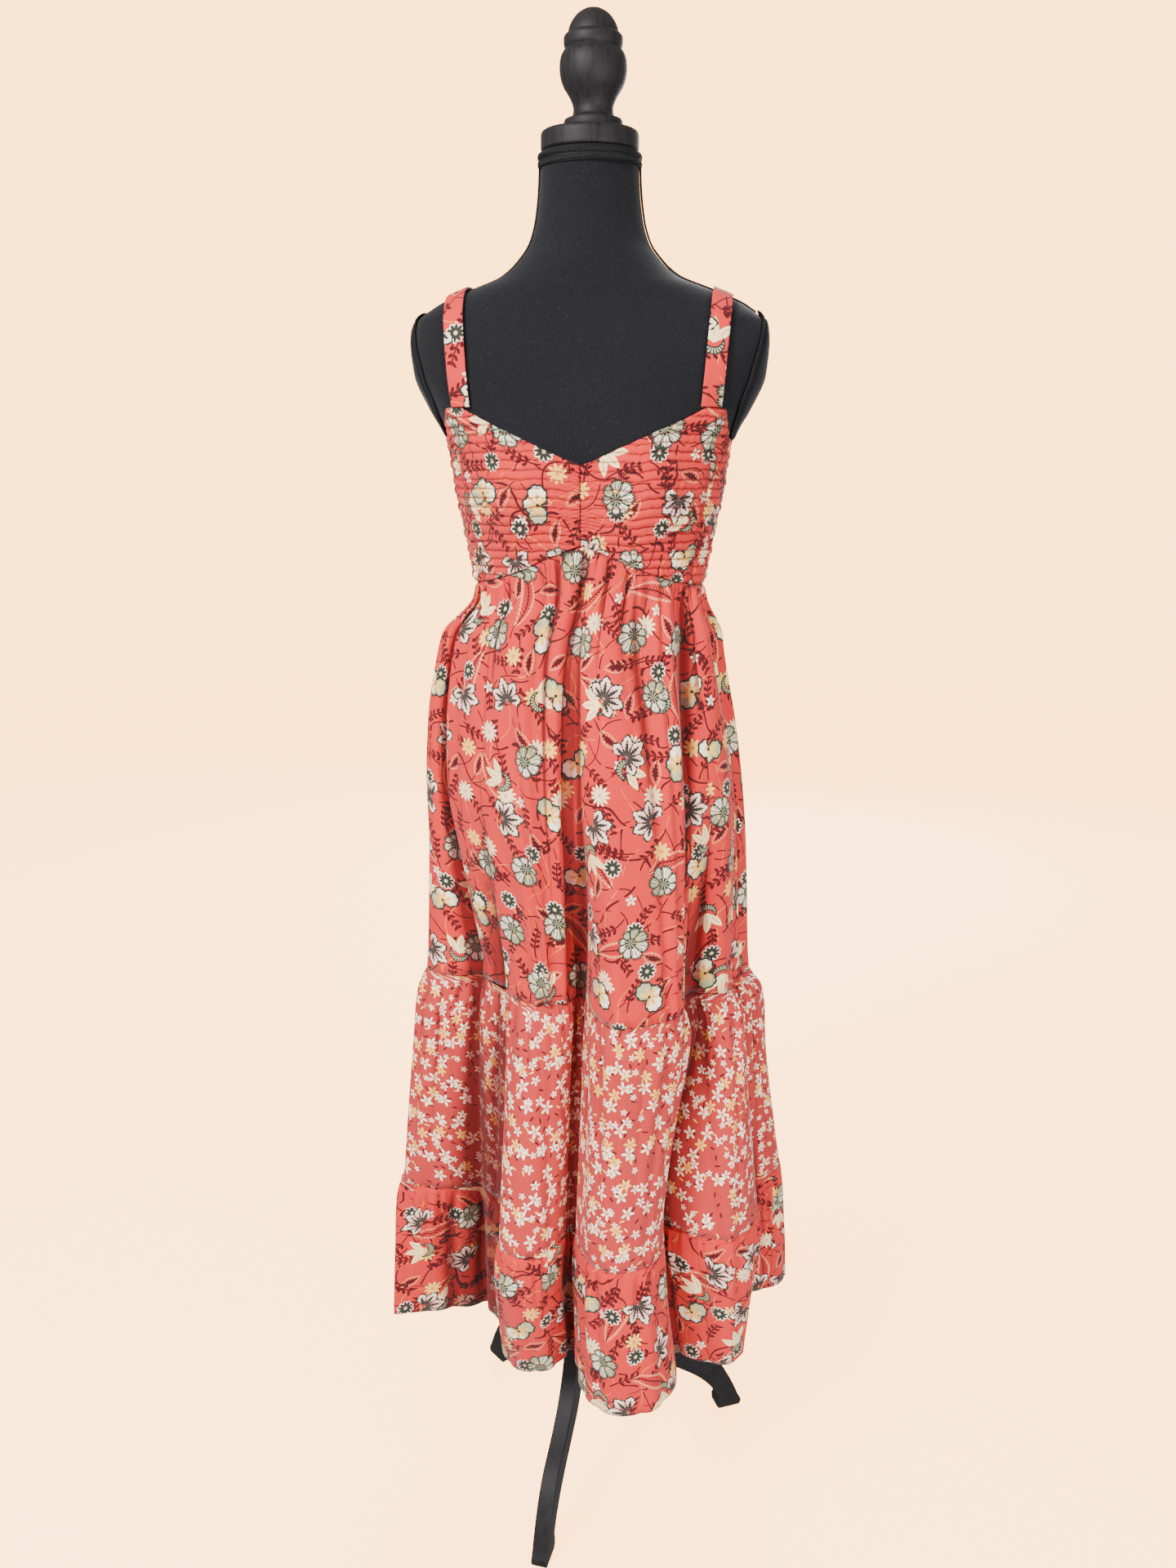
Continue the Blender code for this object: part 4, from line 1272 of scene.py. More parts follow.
@dataclass
class DressForm:
    """The black jersey form with its plates, braids, cap and finial."""

    torso: Torso
    finishes: Finishes
    plate_height: float = 1.373
    plate_tall: float = 0.064
    plate_deep: float = 0.047
    plate_rise: float = 0.0055
    cap: tuple = ((0.0, 1.6000), (0.0488, 1.6000), (0.0505, 1.6008), (0.0515, 1.6025),
                  (0.0515, 1.6100), (0.0514, 1.6150), (0.0505, 1.6180), (0.0478, 1.6200),
                  (0.0440, 1.6205), (0.0, 1.6205))
    finial: tuple = (
        (0.0, 1.6208), (0.0290, 1.6208), (0.0306, 1.6228), (0.0308, 1.6270), (0.0298, 1.6305),
        (0.0240, 1.6325), (0.0212, 1.6360), (0.0208, 1.6410), (0.0228, 1.6480),
        (0.0268, 1.6550), (0.0312, 1.6620), (0.0340, 1.6700), (0.0350, 1.6780),
        (0.0346, 1.6850), (0.0330, 1.6910), (0.0305, 1.6950), (0.0290, 1.6972),
        (0.0300, 1.6990), (0.0306, 1.7030), (0.0304, 1.7075), (0.0284, 1.7100),
        (0.0262, 1.7115), (0.0256, 1.7145), (0.0240, 1.7190), (0.0206, 1.7245),
        (0.0158, 1.7295), (0.0090, 1.7335), (0.0, 1.7350))
    finial_offset: float = 0.0035
    neck_braid: float = 1.5908

    def build(self) -> None:
        """Make every piece of the form."""
        self.body()
        for side, word in ((1.0, "left"), (-1.0, "right")):
            self.plate(side, word)
        self.braids()
        turned("form_cap", self.cap, 0.0, TORSO_Y, self.finishes.wood, Slot.WOOD,
               "form_neck_cap")
        turned("form_top_finial", self.finial, self.finial_offset, TORSO_Y,
               self.finishes.wood, Slot.WOOD, "form_finial")

    def body(self) -> None:
        """Make the smooth jersey-covered torso."""
        cols = 144
        heights = np.concatenate([np.linspace(self.torso.bottom, 1.42, 96),
                                  np.linspace(1.424, 1.500, 34),
                                  np.linspace(1.504, self.torso.top, 22)])
        bearings = np.arange(cols) * 360.0 / cols
        grid = self.torso.bare(bearings[None, :], heights[:, None])
        faces = grid_faces(len(heights), cols, closed=True, capped=True)
        item = mesh_piece("form_body", grid, faces, self.finishes.jersey, sharp=50.0)
        settle(item, Slot.JERSEY, "form_torso")

    def plate_ring(self, share: Any, turn: np.ndarray, side: float, lift: Any) -> np.ndarray:
        """Give points of an arm plate at a share of its size."""
        y = share * self.plate_deep * np.cos(turn)
        height = self.plate_height + share * self.plate_tall * np.sin(turn)
        return self.torso.side(y, height, side, lift)

    def plate(self, side: float, word: str) -> None:
        """Make one covered arm plate with its piped edge.

        Args:
            side: 1 on the dress's +X side, -1 on the other.
            word: The side's word in the node's name.
        """
        turn = np.linspace(0.0, TAU, 72, endpoint=False)
        shares = [0.04, 0.2, 0.4, 0.6, 0.75, 0.88, 0.94, 0.975, 1.0, 1.0]
        lifts = [1.0, 1.0, 1.0, 1.0, 1.0, 1.0, 0.98, 0.90, 0.62, 0.34]
        rings = [self.plate_ring(s, turn, side, self.plate_rise * r)
                 for s, r in zip(shares, lifts)]
        grid = np.stack(rings)
        faces = grid_faces(len(rings), len(turn), closed=True, capped=True)
        if side > 0.0:
            faces = [tuple(reversed(face)) for face in faces]
        item = mesh_piece("arm_plate_" + word, grid, faces, self.finishes.jersey, sharp=60.0)
        settle(item, Slot.JERSEY, "form_arm_plate_" + word)

    def band(self, line: np.ndarray, out: np.ndarray, width: float, closed: bool) -> tuple:
        """Lay a flat band with a wall along a line.

        Args:
            line: Middle of the band.
            out: Outward direction at each point.
            width: Width of the band.
            closed: Whether it is a ring.

        Returns:
            Its points and faces.
        """
        if closed:
            along = unit(np.roll(line, -1, axis=0) - np.roll(line, 1, axis=0))
        else:
            along = unit(np.gradient(line, axis=0))
        across = unit(np.cross(out, along))
        shape = [(-0.5, 0.0), (0.5, 0.0), (0.5, 0.9), (0.25, 1.25), (-0.25, 1.25), (-0.5, 0.9)]
        rings = [line + across * (x * width) + out * (y * 0.0011) for x, y in shape]
        points = np.stack(rings, axis=1)
        count, sides = points.shape[:2]
        faces = []
        for i in range(count if closed else count - 1):
            n = (i + 1) % count
            for k in range(sides):
                m = (k + 1) % sides
                faces.append((i * sides + k, i * sides + m, n * sides + m, n * sides + k))
        if not closed:
            faces.append(tuple(range(sides))[::-1])
            faces.append(tuple((count - 1) * sides + k for k in range(sides)))
        return points.reshape(-1, 3), faces

    def braids(self) -> None:
        """Lay the plaited braid round the neck, down the shoulders and round the plates."""
        turn = np.linspace(0.0, TAU, 120, endpoint=False)
        bearings = np.linspace(0.0, 360.0, 96, endpoint=False)
        neck = np.full(96, self.neck_braid)
        runs = [(self.torso.off(bearings, neck, 0.0010, True),
                 unit(self.torso.outwards(bearings, neck) * LEVEL),
                 0.0135, True, "neck_braid", ("form_neck_braid",))]
        for side, word in ((1.0, "left"), (-1.0, "right")):
            ring = self.plate_ring(1.01, turn, side, 0.0012)
            out = np.zeros_like(ring)
            out[:, 0] = side
            out = unit(out + unit(ring - ring.mean(axis=0)) * 0.35)
            runs.append((ring, out, 0.0105, True, "arm_braid_" + word, ()))
            heights = np.concatenate([np.linspace(1.584, 1.500, 20),
                                      np.linspace(1.497, 1.440, 30)])
            bearing = np.full(50, 0.0 if side > 0.0 else 180.0)
            line = self.torso.off(bearing, heights, 0.0004)
            runs.append((line, self.torso.outwards(bearing, heights), 0.0090, False,
                         "shoulder_braid_" + word, ()))
        for line, out, width, closed, name, nodes in runs:
            verts, faces = self.band(line, out, width, closed)
            item = mesh_piece(name + "_tape", verts, faces, self.finishes.braid, sharp=40.0)
            fix_outwards(item)
            settle(item, Slot.BRAID, *nodes)
            self.strands(name, line, out, width, closed)

    def strands(self, name: str, line: np.ndarray, out: np.ndarray, width: float,
                closed: bool) -> None:
        """Set two rows of slanted strands on a braid, so that they meet in arrow shapes.

        Args:
            name: Name of the braid.
            line: Middle of the braid.
            out: Outward direction at each point.
            width: Width of the braid.
            closed: Whether it is a ring.
        """
        if closed:
            line = np.concatenate([line, line[:1]])
            out = np.concatenate([out, out[:1]])
        across = unit(np.cross(out, np.gradient(line, axis=0)))
        places, aims = [], []
        for place in (-0.26, 0.26):
            path = line + across * (place * width) + out * 0.0012
            points, along = spaced(path, width * 0.26)
            nearest = np.argmin(np.linalg.norm(points[:, None] - path[None], axis=2), axis=1)
            places.append(points)
            aims.append(unit(along + across[nearest] * math.copysign(0.85, place)))
        item = repeat_along(name + "_strands", Trim.STRAND, np.concatenate(places),
                            np.concatenate(aims), width * 0.33, width * 0.115,
                            self.finishes.braid)
        settle(item, Slot.BRAID)


def fix_outwards(item: bpy.types.Object) -> None:
    """Turn a closed piece's faces outwards where they look in.

    Args:
        item: The piece.
    """
    mesh = item.data
    verts = np.array([v.co[:] for v in mesh.vertices])
    total = 0.0
    for face in mesh.polygons:
        corners = verts[list(face.vertices)]
        total += sum(np.dot(corners[0], np.cross(corners[k], corners[k + 1]))
                     for k in range(1, len(corners) - 1))
    if total < 0.0:
        mesh.flip_normals()


def fine_line(points: Sequence, steps: int) -> np.ndarray:
    """Put more points into a line, on a smooth curve through its own.

    Args:
        points: Points of the line.
        steps: How many stretches each of its stretches becomes.

    Returns:
        The finer line.
    """
    points = np.array(points, float)
    chord = run_length(points)
    places = np.unique(np.concatenate([np.linspace(a, b, steps + 1)
                                       for a, b in zip(chord[:-1], chord[1:])]))
    return np.stack([Curve(chord, points[:, k])(places) for k in range(points.shape[1])], axis=1)


def turned(name: str, profile: Sequence, x: float, y: float, material: bpy.types.Material,
           slot: Slot, node: str, steps: int = 96, fine: int = 3) -> None:
    """Turn a profile that starts and ends on the axis.

    Args:
        name: Name of the piece.
        profile: Radius and height of each point, from the bottom to the top.
        x: Place of the axis.
        y: Place of the axis.
        material: Its finish.
        slot: The record's slot, which is not used.
        node: The solid that it stands for.
        steps: Faces around.
        fine: Points put into each stretch of the profile.
    """
    radii, heights = fine_line(profile[1:-1], fine).T
    turn = np.arange(steps) * TAU / steps
    grid = np.stack([x + radii[:, None] * np.cos(turn), y + radii[:, None] * np.sin(turn),
                     np.broadcast_to(heights[:, None], (len(radii), steps))], axis=-1)
    verts = np.concatenate([grid.reshape(-1, 3), [(x, y, profile[0][1]), (x, y, profile[-1][1])]])
    faces = grid_faces(len(radii), steps, closed=True)
    last, base = (len(radii) - 1) * steps, len(radii) * steps
    for k in range(steps):
        n = (k + 1) % steps
        faces.append((base, n, k))
        faces.append((base + 1, last + k, last + n))
    settle(mesh_piece(name, verts, faces, material, sharp=35.0), slot, node)


@dataclass
class Stand:
    """Pole, hub and three sawn wooden legs."""

    finishes: Finishes
    board: float = 0.020
    top_edge: tuple = (
        (0.0303, 0.318), (0.0440, 0.306), (0.0580, 0.266), (0.0710, 0.216), (0.0870, 0.170),
        (0.1100, 0.136), (0.1390, 0.112), (0.1680, 0.094), (0.1880, 0.074), (0.2020, 0.052),
        (0.2115, 0.032), (0.2180, 0.016), (0.2225, 0.006), (0.2200, 0.000))
    low_edge: tuple = (
        (0.0303, 0.216), (0.0420, 0.188), (0.0570, 0.148), (0.0790, 0.117), (0.1080, 0.095),
        (0.1350, 0.077), (0.1550, 0.062), (0.1710, 0.046), (0.1825, 0.030), (0.1870, 0.020),
        (0.1850, 0.014), (0.1855, 0.006), (0.1890, 0.000))
    legs: tuple = (("front", 260.0), ("left", 23.5), ("right", 134.0))
    hub: tuple = ((0.0, 0.1960), (0.0180, 0.1960), (0.0270, 0.2020), (0.0300, 0.2120),
                  (0.0300, 0.2160), (0.0300, 0.3260), (0.0270, 0.3340), (0.0200, 0.3400),
                  (0.0, 0.3400))

    def build(self) -> None:
        """Make the stand."""
        turned("stand_hub_block", self.hub, 0.0, 0.0, self.finishes.wood, Slot.WOOD,
               "stand_hub")
        turned("stand_pole_rod", ((0.0, 0.3403), (0.0120, 0.3403), (0.0125, 0.3410),
                                  (0.0125, 0.8490), (0.0120, 0.8497), (0.0, 0.8497)),
               0.0, 0.0, self.finishes.pole, Slot.POLE, "stand_pole", fine=1)
        for word, angle in self.legs:
            self.leg(word, math.radians(angle))

    def leg(self, word: str, angle: float) -> None:
        """Cut one leg from its board and round its edges.

        Args:
            word: The leg's word in the node's name.
            angle: Its bearing from +X, in radians.
        """
        outline = np.concatenate([fine_line(self.top_edge, 4), fine_line(self.low_edge, 4)[::-1]])
        c, s = math.cos(angle), math.sin(angle)
        verts = []
        for side in (-0.5, 0.5):
            shift = side * self.board
            for r, z in outline:
                verts.append((r * c - shift * s, r * s + shift * c, z))
        count = len(outline)
        faces = [tuple(range(count)), tuple(range(2 * count - 1, count - 1, -1))]
        for k in range(count):
            n = (k + 1) % count
            faces.append((k, count + k, count + n, n))
        item = mesh_piece("stand_leg_" + word, np.array(verts), faces, self.finishes.leg_wood,
                          sharp=30.0)
        fix_outwards(item)
        bevel = item.modifiers.new("edge", "BEVEL")
        bevel.width = 0.0018
        bevel.segments = 3
        bevel.limit_method = "ANGLE"
        bevel.angle_limit = math.radians(40.0)
        settle(item, Slot.WOOD, "leg_" + word)


@dataclass
class Bodice:
    """Cup, side and back panels sewn in level channels."""

    torso: Torso
    edges: Edges
    finishes: Finishes
    clear: float = 0.0015
    wall: float = 0.0015
    channel: float = 0.0092
    puff: float = 0.0030
    radius: float = 0.13
    stitched: tuple[float, float] = (1.150, 1.345)
    panels: tuple = (("bodice_front_left", 270.0, 330.0), ("bodice_side_left", 330.0, 360.0),
                     ("bodice_back", 0.0, 180.0), ("bodice_side_right", 180.0, 210.0),
                     ("bodice_front_right", 210.0, 270.0))

    def build(self) -> None:
        """Make the five panels and the stitches of their channels."""
        stitches = []
        for index, (name, start, stop) in enumerate(self.panels):
            self.panel(name, start, stop, index)
            stitches += self.stitch_rows(start, stop)
        points = np.concatenate([row[0] for row in stitches])
        aims = np.concatenate([row[1] for row in stitches])
        item = repeat_along("bodice_stitches", Trim.STITCH, points, aims, 0.0021, 0.00026,
                            self.finishes.thread)
        settle(item, Slot.FLORAL)

    def sag(self, degrees: np.ndarray) -> np.ndarray:
        """How far the channel seams wander from level."""
        around = np.radians(degrees) * self.radius
        return 0.0010 * waves(around, 0.09, 31) + 0.0006 * waves(around, 0.03, 32)

    def relief(self, degrees: np.ndarray, height: np.ndarray) -> tuple[np.ndarray, np.ndarray]:
        """Height of the cloth over its plain shell.

        Args:
            degrees: Bearings.
            height: Heights.

        Returns:
            The height of channels, puckers and creases, and the painted shade of each place.
        """
        around = np.radians(degrees) * self.radius
        level = (height + self.sag(degrees)) / self.channel
        share = level - np.floor(level)
        row = np.floor(level)
        plump = 0.75 + 0.25 * np.sin(row * 2.4 + around * 31.0)
        shape = self.puff * np.sin(math.pi * share) ** 0.62 * plump
        edge = (share + 0.5) % 1.0 - 0.5
        seam = np.exp(-(edge / 0.22) ** 2)
        pucker = 0.00050 * waves(around + row * 0.37, 0.0062, 33) * (0.4 + seam)
        away = np.abs((degrees - CENTRE_FRONT + 180.0) % 360.0 - 180.0)
        ruche = pipes(height + 0.0020 * waves(around, 0.014, 35), 0.0046, 0.0026, 36)
        gather = np.exp(-(away / 7.5) ** 1.3)
        princess = np.exp(-((away - 58.0) / 2.2) ** 2)
        side = np.exp(-((away - 90.0) / 3.0) ** 2) * 0.6
        creases = pipes(height * 0.8 + around * 0.9, 0.017, 0.0013, 44) * np.exp(
            -((away - 72.0) / 16.0) ** 2) * smooth_step(-height, -1.235, -1.185)
        total = shape * (1.0 - 0.75 * gather) + pucker + ruche * gather
        total = total * (1.0 - 0.65 * np.clip(princess + side, 0.0, 1.0)) + creases
        # Painted shade: the channel seams, the centre front and the princess seams are darkened
        # in the colour.
        dark = np.exp(-(edge * self.channel / 0.0008) ** 2) * (1.0 - 0.4 * gather)
        tuck_shade = np.exp(-(away / 1.1) ** 2) * 0.12 + 0.35 * princess
        return total, np.clip(0.55 * dark + tuck_shade, 0.0, 1.0)

    def face(self, degrees: np.ndarray, height: np.ndarray,
             extra: float = 0.0) -> tuple[np.ndarray, np.ndarray]:
        """Give points of a panel's outer face.

        Args:
            degrees: Bearings.
            height: Heights.
            extra: Distance that is added outwards.

        Returns:
            The points, and the painted shade of each one.
        """
        relief, seam = self.relief(degrees, height)
        lift = self.clear + self.wall + relief + extra
        low = self.edges.height(self.edges.waist, degrees)
        high = self.edges.height(self.edges.neck, degrees)
        near = np.minimum(height - low, high - height)
        lift = lift - self.puff * 0.5 * (1.0 - smooth_step(near, 0.0, 0.004))
        points = self.torso.off(degrees, height, np.maximum(lift, self.clear + 0.0011))
        points[..., 2] = np.clip(points[..., 2], low + SEAM_GAP, high + 0.001)
        return points, seam

    def panel(self, name: str, start: float, stop: float, index: int) -> None:
        """Args:
            name: Its node.
            start: First bearing in degrees.
            stop: Last bearing.
            index: Its number, which shifts the print.
        """
        trim = math.degrees(SEAM_GAP / 2 / 0.11)
        width = math.radians(stop - start) * 0.135
        cols = max(24, int(width / 0.0022))
        rows = 230
        bearings = np.linspace(start + trim, stop - trim, cols)[None, :]
        low = self.edges.height(self.edges.waist, bearings) + SEAM_GAP
        high = self.edges.height(self.edges.neck, bearings)
        share = np.linspace(0.0, 1.0, rows)[:, None]
        height = low + (high - low) * share
        bearings = np.broadcast_to(bearings, height.shape)
        grid, seam = self.face(bearings, height)
        out = grid_normals(grid)
        # Painted shade: the seams' shade plus the depth of each point between its neighbours.
        crease_shade = (seam + 1.5 * hollows(grid, out, 2, 0) + 1.8 * hollows(grid, out, 3, 1)
                  + 0.7 * hollows(grid, out, 6, 0))
        arc = run_length(grid)
        flat = np.stack([arc.mean(axis=0)[None, :] + np.zeros_like(height) + 0.31 * index,
                         height * 1.04 + 0.17 * index], axis=-1)
        item = cloth_piece(name + "_cloth", grid, flat, self.finishes.floral,
                           crease_shade=np.clip(crease_shade, 0.0, 0.9))
        settle(item, Slot.FLORAL, name)
        tall = float((high - low).mean()) * 1.22

    def stitch_rows(self, start: float, stop: float) -> list:
        """List the stitches of a panel's channel seams.

        Args:
            start: First bearing in degrees.
            stop: Last bearing.

        Returns:
            Points and directions, for each run of stitches.
        """
        rows = []
        first, last = (int(height / self.channel) for height in self.stitched)
        for number in range(first, last + 1):
            bearings = np.linspace(start + 0.6, stop - 0.6, 90)
            height = number * self.channel - self.sag(bearings)
            low = self.edges.height(self.edges.waist, bearings) + 0.002
            high = self.edges.height(self.edges.neck, bearings) - 0.002
            inside = (height > low) & (height < high)
            if inside.sum() < 6:
                continue
            edges = np.flatnonzero(np.diff(inside.astype(int)))
            for part in np.split(np.arange(len(bearings)), edges + 1):
                if not inside[part[0]] or len(part) < 4:
                    continue
                line, _ = self.face(bearings[part], height[part], 0.0001)
                rows.append(spaced(line, 0.0031))
        return rows


@dataclass
class Straps:
    """Two fixed shoulder straps."""

    torso: Torso
    edges: Edges
    finishes: Finishes
    width: float = 0.0200
    wall: float = 0.0018
    clear: float = 0.0016
    centre: float = 1.345
    line: tuple = ((-3, 0.1315), (35, 0.1370), (60, 0.1405), (90, 0.1415), (120, 0.1380),
                   (150, 0.1270), (180, 0.1130), (210, 0.1020))

    def build(self) -> None:
        """Make both straps."""
        self.strap("left", 1.0, 0.000)
        self.strap("right", -1.0, 0.004)

    def over(self, x: np.ndarray, turn: np.ndarray) -> np.ndarray:
        """Find where rays in planes of constant x leave the torso."""
        c, s = np.cos(np.radians(turn)), np.sin(np.radians(turn))
        near, far = np.zeros_like(x), np.full_like(x, 0.30)
        for _ in range(34):
            middle = 0.5 * (near + far)
            height = self.centre + middle * s
            held = (height < 1.59) & self.torso.inside(x, -middle * c, height)
            near, far = np.where(held, middle, near), np.where(held, far, middle)
        return np.stack([x, TORSO_Y - near * c, self.centre + near * s], axis=-1)

    def foot(self, x: np.ndarray, height: float, back: bool) -> np.ndarray:
        """Find the turn at which the torso's surface passes a height."""
        low = np.full_like(x, 90.0 if back else -60.0)
        high = np.full_like(x, 250.0 if back else 90.0)
        for _ in range(30):
            middle = 0.5 * (low + high)
            above = self.over(x, middle)[..., 2] > height
            low = np.where(above == back, middle, low)
            high = np.where(above == back, high, middle)
        return 0.5 * (low + high)

    def strap(self, word: str, side: float, inset: float) -> None:
        """Args:
            word: The side's word in the node's name.
            side: 1 on the dress's +X side, -1 on the other.
            inset: How far it lies nearer the neck.
        """
        offsets = Curve([p[0] for p in self.line], [p[1] - inset for p in self.line])
        front = 1.3430 + SEAM_GAP * 2
        back = float(self.edges.height(self.edges.neck, 130.0)) + SEAM_GAP * 2
        edge = np.linspace(-0.5, 0.5, 17)[None, :]
        share = np.linspace(0.0, 1.0, 150)[:, None]
        start, stop = self.line[0][0], self.line[-1][0]
        first = self.foot(offsets(start) + edge * self.width, front, False)
        final = self.foot(offsets(stop) + edge * self.width, back, True)
        turn = first + (final - first) * share
        x = offsets(start + (stop - start) * share) + edge * self.width
        bare = self.over(np.broadcast_to(x, turn.shape).copy(), turn)
        bare[..., 0] *= side
        out = grid_normals(bare)
        out = out * np.sign(out[75, 8, 2])
        roll = 1.0 - np.abs(edge * 2.0) ** 6 * 0.35
        ease = 0.0005 * np.abs(np.sin(share * 41.0)) * np.abs(edge) * 2.0
        grid = bare + out * (self.clear + self.wall * roll + ease)[..., None]
        grid[0, :, 2] = np.maximum(grid[0, :, 2], front)
        if side > 0.0:
            grid = grid[:, ::-1]
        along = run_length(grid[:, 8])
        flat = np.stack([np.broadcast_to(edge * self.width + 0.9 + side * 0.2, turn.shape),
                         np.broadcast_to(along[:, None], turn.shape)], axis=-1)
        item = cloth_piece("strap_" + word + "_cloth", grid, flat, self.finishes.floral,
                           wall=0.0016)
        settle(item, Slot.FLORAL, "strap_" + word)


@dataclass(frozen=True)
class Tier:
    """One tier of the skirt."""

    name: str
    bottom: float
    rows: int
    seed: int
    small: bool


@dataclass
class Skirt:
    """Three gathered tiers that hang in eight deep flutes."""

    torso: Torso
    edges: Edges
    finishes: Finishes
    clear: float = 0.0015
    wall: float = 0.0015
    blend: float = 0.060
    rings: np.ndarray = field(default_factory=lambda: np.array([
        (1.175, 0.131, 0.0965, 0.0975, 0.0, 0.0), (1.138, 0.1365, 0.102, 0.103, 0.03, -0.003),
        (1.108, 0.148, 0.111, 0.111, 0.06, -0.008), (1.071, 0.1585, 0.12, 0.119, 0.1, -0.011),
        (1.032, 0.1675, 0.128, 0.127, 0.15, -0.011), (0.993, 0.1745, 0.135, 0.134, 0.2, -0.01),
        (0.914, 0.1835, 0.148, 0.148, 0.3, -0.007), (0.853, 0.187, 0.154, 0.154, 0.48, -0.004),
        (0.79, 0.1905, 0.159, 0.158, 0.7, -0.003), (0.682, 0.197, 0.166, 0.164, 1.0, -0.002),
        (0.652, 0.2085, 0.178, 0.174, 1.0, 0.001), (0.55, 0.224, 0.196, 0.19, 1.0, 0.0),
        (0.406, 0.242, 0.225, 0.215, 1.0, 0.0), (0.289, 0.255, 0.236, 0.22, 1.0, 0.0),
        (0.222, 0.258, 0.24, 0.222, 1.0, 0.0)]))
    levels: tuple = (0.222, 0.406, 0.682)
    flutes: np.ndarray = field(default_factory=lambda: np.array([
        [(-19.0, 1.5, 0.74, 14.5, 1.04), (31.5, 35.5, 0.71, 55.5, 0.98),
         (75.5, 79.5, 0.62, 99.5, 0.95), (121.5, 125.5, 0.66, 147.5, 0.98),
         (169.5, 174.5, 0.76, 199.5, 1.01), (201.5, 230.5, 0.54, 252.5, 0.745),
         (264.5, 268.5, 0.53, 284.0, 1.00), (309.5, 314.5, 0.68, 325.0, 0.91)],
        [(-13.5, -4.5, 0.84, 10.5, 1.02), (31.5, 35.5, 0.84, 55.5, 1.00),
         (75.5, 79.5, 0.76, 99.5, 1.00), (121.5, 125.5, 0.79, 147.5, 0.99),
         (169.5, 174.5, 0.86, 194.5, 0.985), (207.5, 238.5, 0.60, 253.0, 0.95),
         (265.5, 269.5, 0.64, 283.0, 1.02), (304.5, 309.5, 0.66, 320.5, 1.00)],
        [(-13.0, -9.0, 0.90, 9.0, 1.00), (31.5, 35.5, 0.90, 55.5, 0.99),
         (75.5, 79.5, 0.86, 99.5, 1.03), (121.5, 125.5, 0.88, 147.5, 0.97),
         (169.5, 173.5, 0.93, 188.5, 1.00), (201.5, 229.5, 0.68, 249.5, 0.77),
         (267.5, 273.5, 0.55, 284.5, 1.09), (317.5, 328.5, 0.78, 338.5, 0.93)]]))
    floor_steps: int = 2
    rise_steps: int = 5
    fine: int = 10
    fullness: float = 0.90
    tiers: tuple = (Tier("tier_1", 0.682, 72, 11, False), Tier("tier_2", 0.406, 62, 22, True),
                    Tier("tier_3", 0.222, 56, 33, False))

    def __post_init__(self) -> None:
        """Work out the bearings and reaches of every column at the three levels."""
        steps = self.floor_steps + 2 * self.rise_steps
        places = np.arange(8 * steps * self.fine) / self.fine
        index = (places // steps).astype(int)
        k = places - index * steps
        self.columns = places
        bearings, reaches = [], []
        for flutes in self.flutes:
            here = flutes[index]
            after = flutes[(index + 1) % 8]
            start = after[:, 0] + np.where(index == 7, 360.0, 0.0)
            t = np.where(k < self.floor_steps, k / self.floor_steps,
                         np.where(k < self.floor_steps + self.rise_steps,
                                  (k - self.floor_steps) / self.rise_steps,
                                  1.0 - (k - self.floor_steps - self.rise_steps)
                                  / self.rise_steps))
            spread = 0.35 * t + 0.65 * t ** 1.6
            swell = np.sin(math.pi * t / 2.0) ** self.fullness
            rising = k < self.floor_steps + self.rise_steps
            bearing = np.where(rising, here[:, 1] + (here[:, 3] - here[:, 1]) * spread,
                               start + (here[:, 3] - start) * spread)
            reach = np.where(rising, here[:, 2] + (here[:, 4] - here[:, 2]) * swell,
                             after[:, 2] + (here[:, 4] - after[:, 2]) * swell)
            flat = k < self.floor_steps
            bearings.append(np.where(flat, here[:, 0] + (here[:, 1] - here[:, 0]) * t, bearing))
            reaches.append(np.where(flat, here[:, 2], reach))
        self.bearing_curve = Curve(self.levels, np.array(bearings))
        self.reach_curve = Curve(self.levels, np.array(reaches))
        self.ring_curves = [Curve(self.rings[:, 0], self.rings[:, k]) for k in range(1, 6)]

    def build(self) -> None:
        """Make both halves of every tier."""
        whole = self.bearing_curve(np.full(len(self.columns), self.levels[1]))
        grade = np.arange(0, len(self.columns), self.fine)
        left = grade[np.argmin(np.abs(whole[grade]))]
        right = grade[np.argmin(np.abs(whole[grade] - 180.0))]
        seams = []
        for tier in self.tiers:
            grid, height, top, crease_shade = self.tier_face(tier)
            for half, first, last in (("back", left, right),
                                      ("front", right, left + len(self.columns))):
                seams += self.half_tier(tier, half, grid, height, top, crease_shade, first, last)
        points = np.concatenate([row[0] for row in seams])
        aims = np.concatenate([row[1] for row in seams])
        item = repeat_along("skirt_stitches", Trim.STITCH, points, aims, 0.0024, 0.0003,
                            self.finishes.thread)
        settle(item, Slot.FLORAL)

    def point(self, height: np.ndarray) -> tuple[np.ndarray, np.ndarray]:
        """Give the skirt's plain face and its bearings.

        Args:
            height: Heights as rows and columns.

        Returns:
            The points and their bearings.
        """
        half, front, back, flute, shift = (curve(height) for curve in self.ring_curves)
        bearing = self.bearing_curve(height)
        reach = 1.0 + (self.reach_curve(height) - 1.0) * flute
        c, s = np.cos(np.radians(bearing)), np.sin(np.radians(bearing))
        x = half * c * reach
        y = np.where(s < 0.0, front, back) * s * reach
        return np.stack([x + shift, TORSO_Y + y, height], axis=-1), bearing

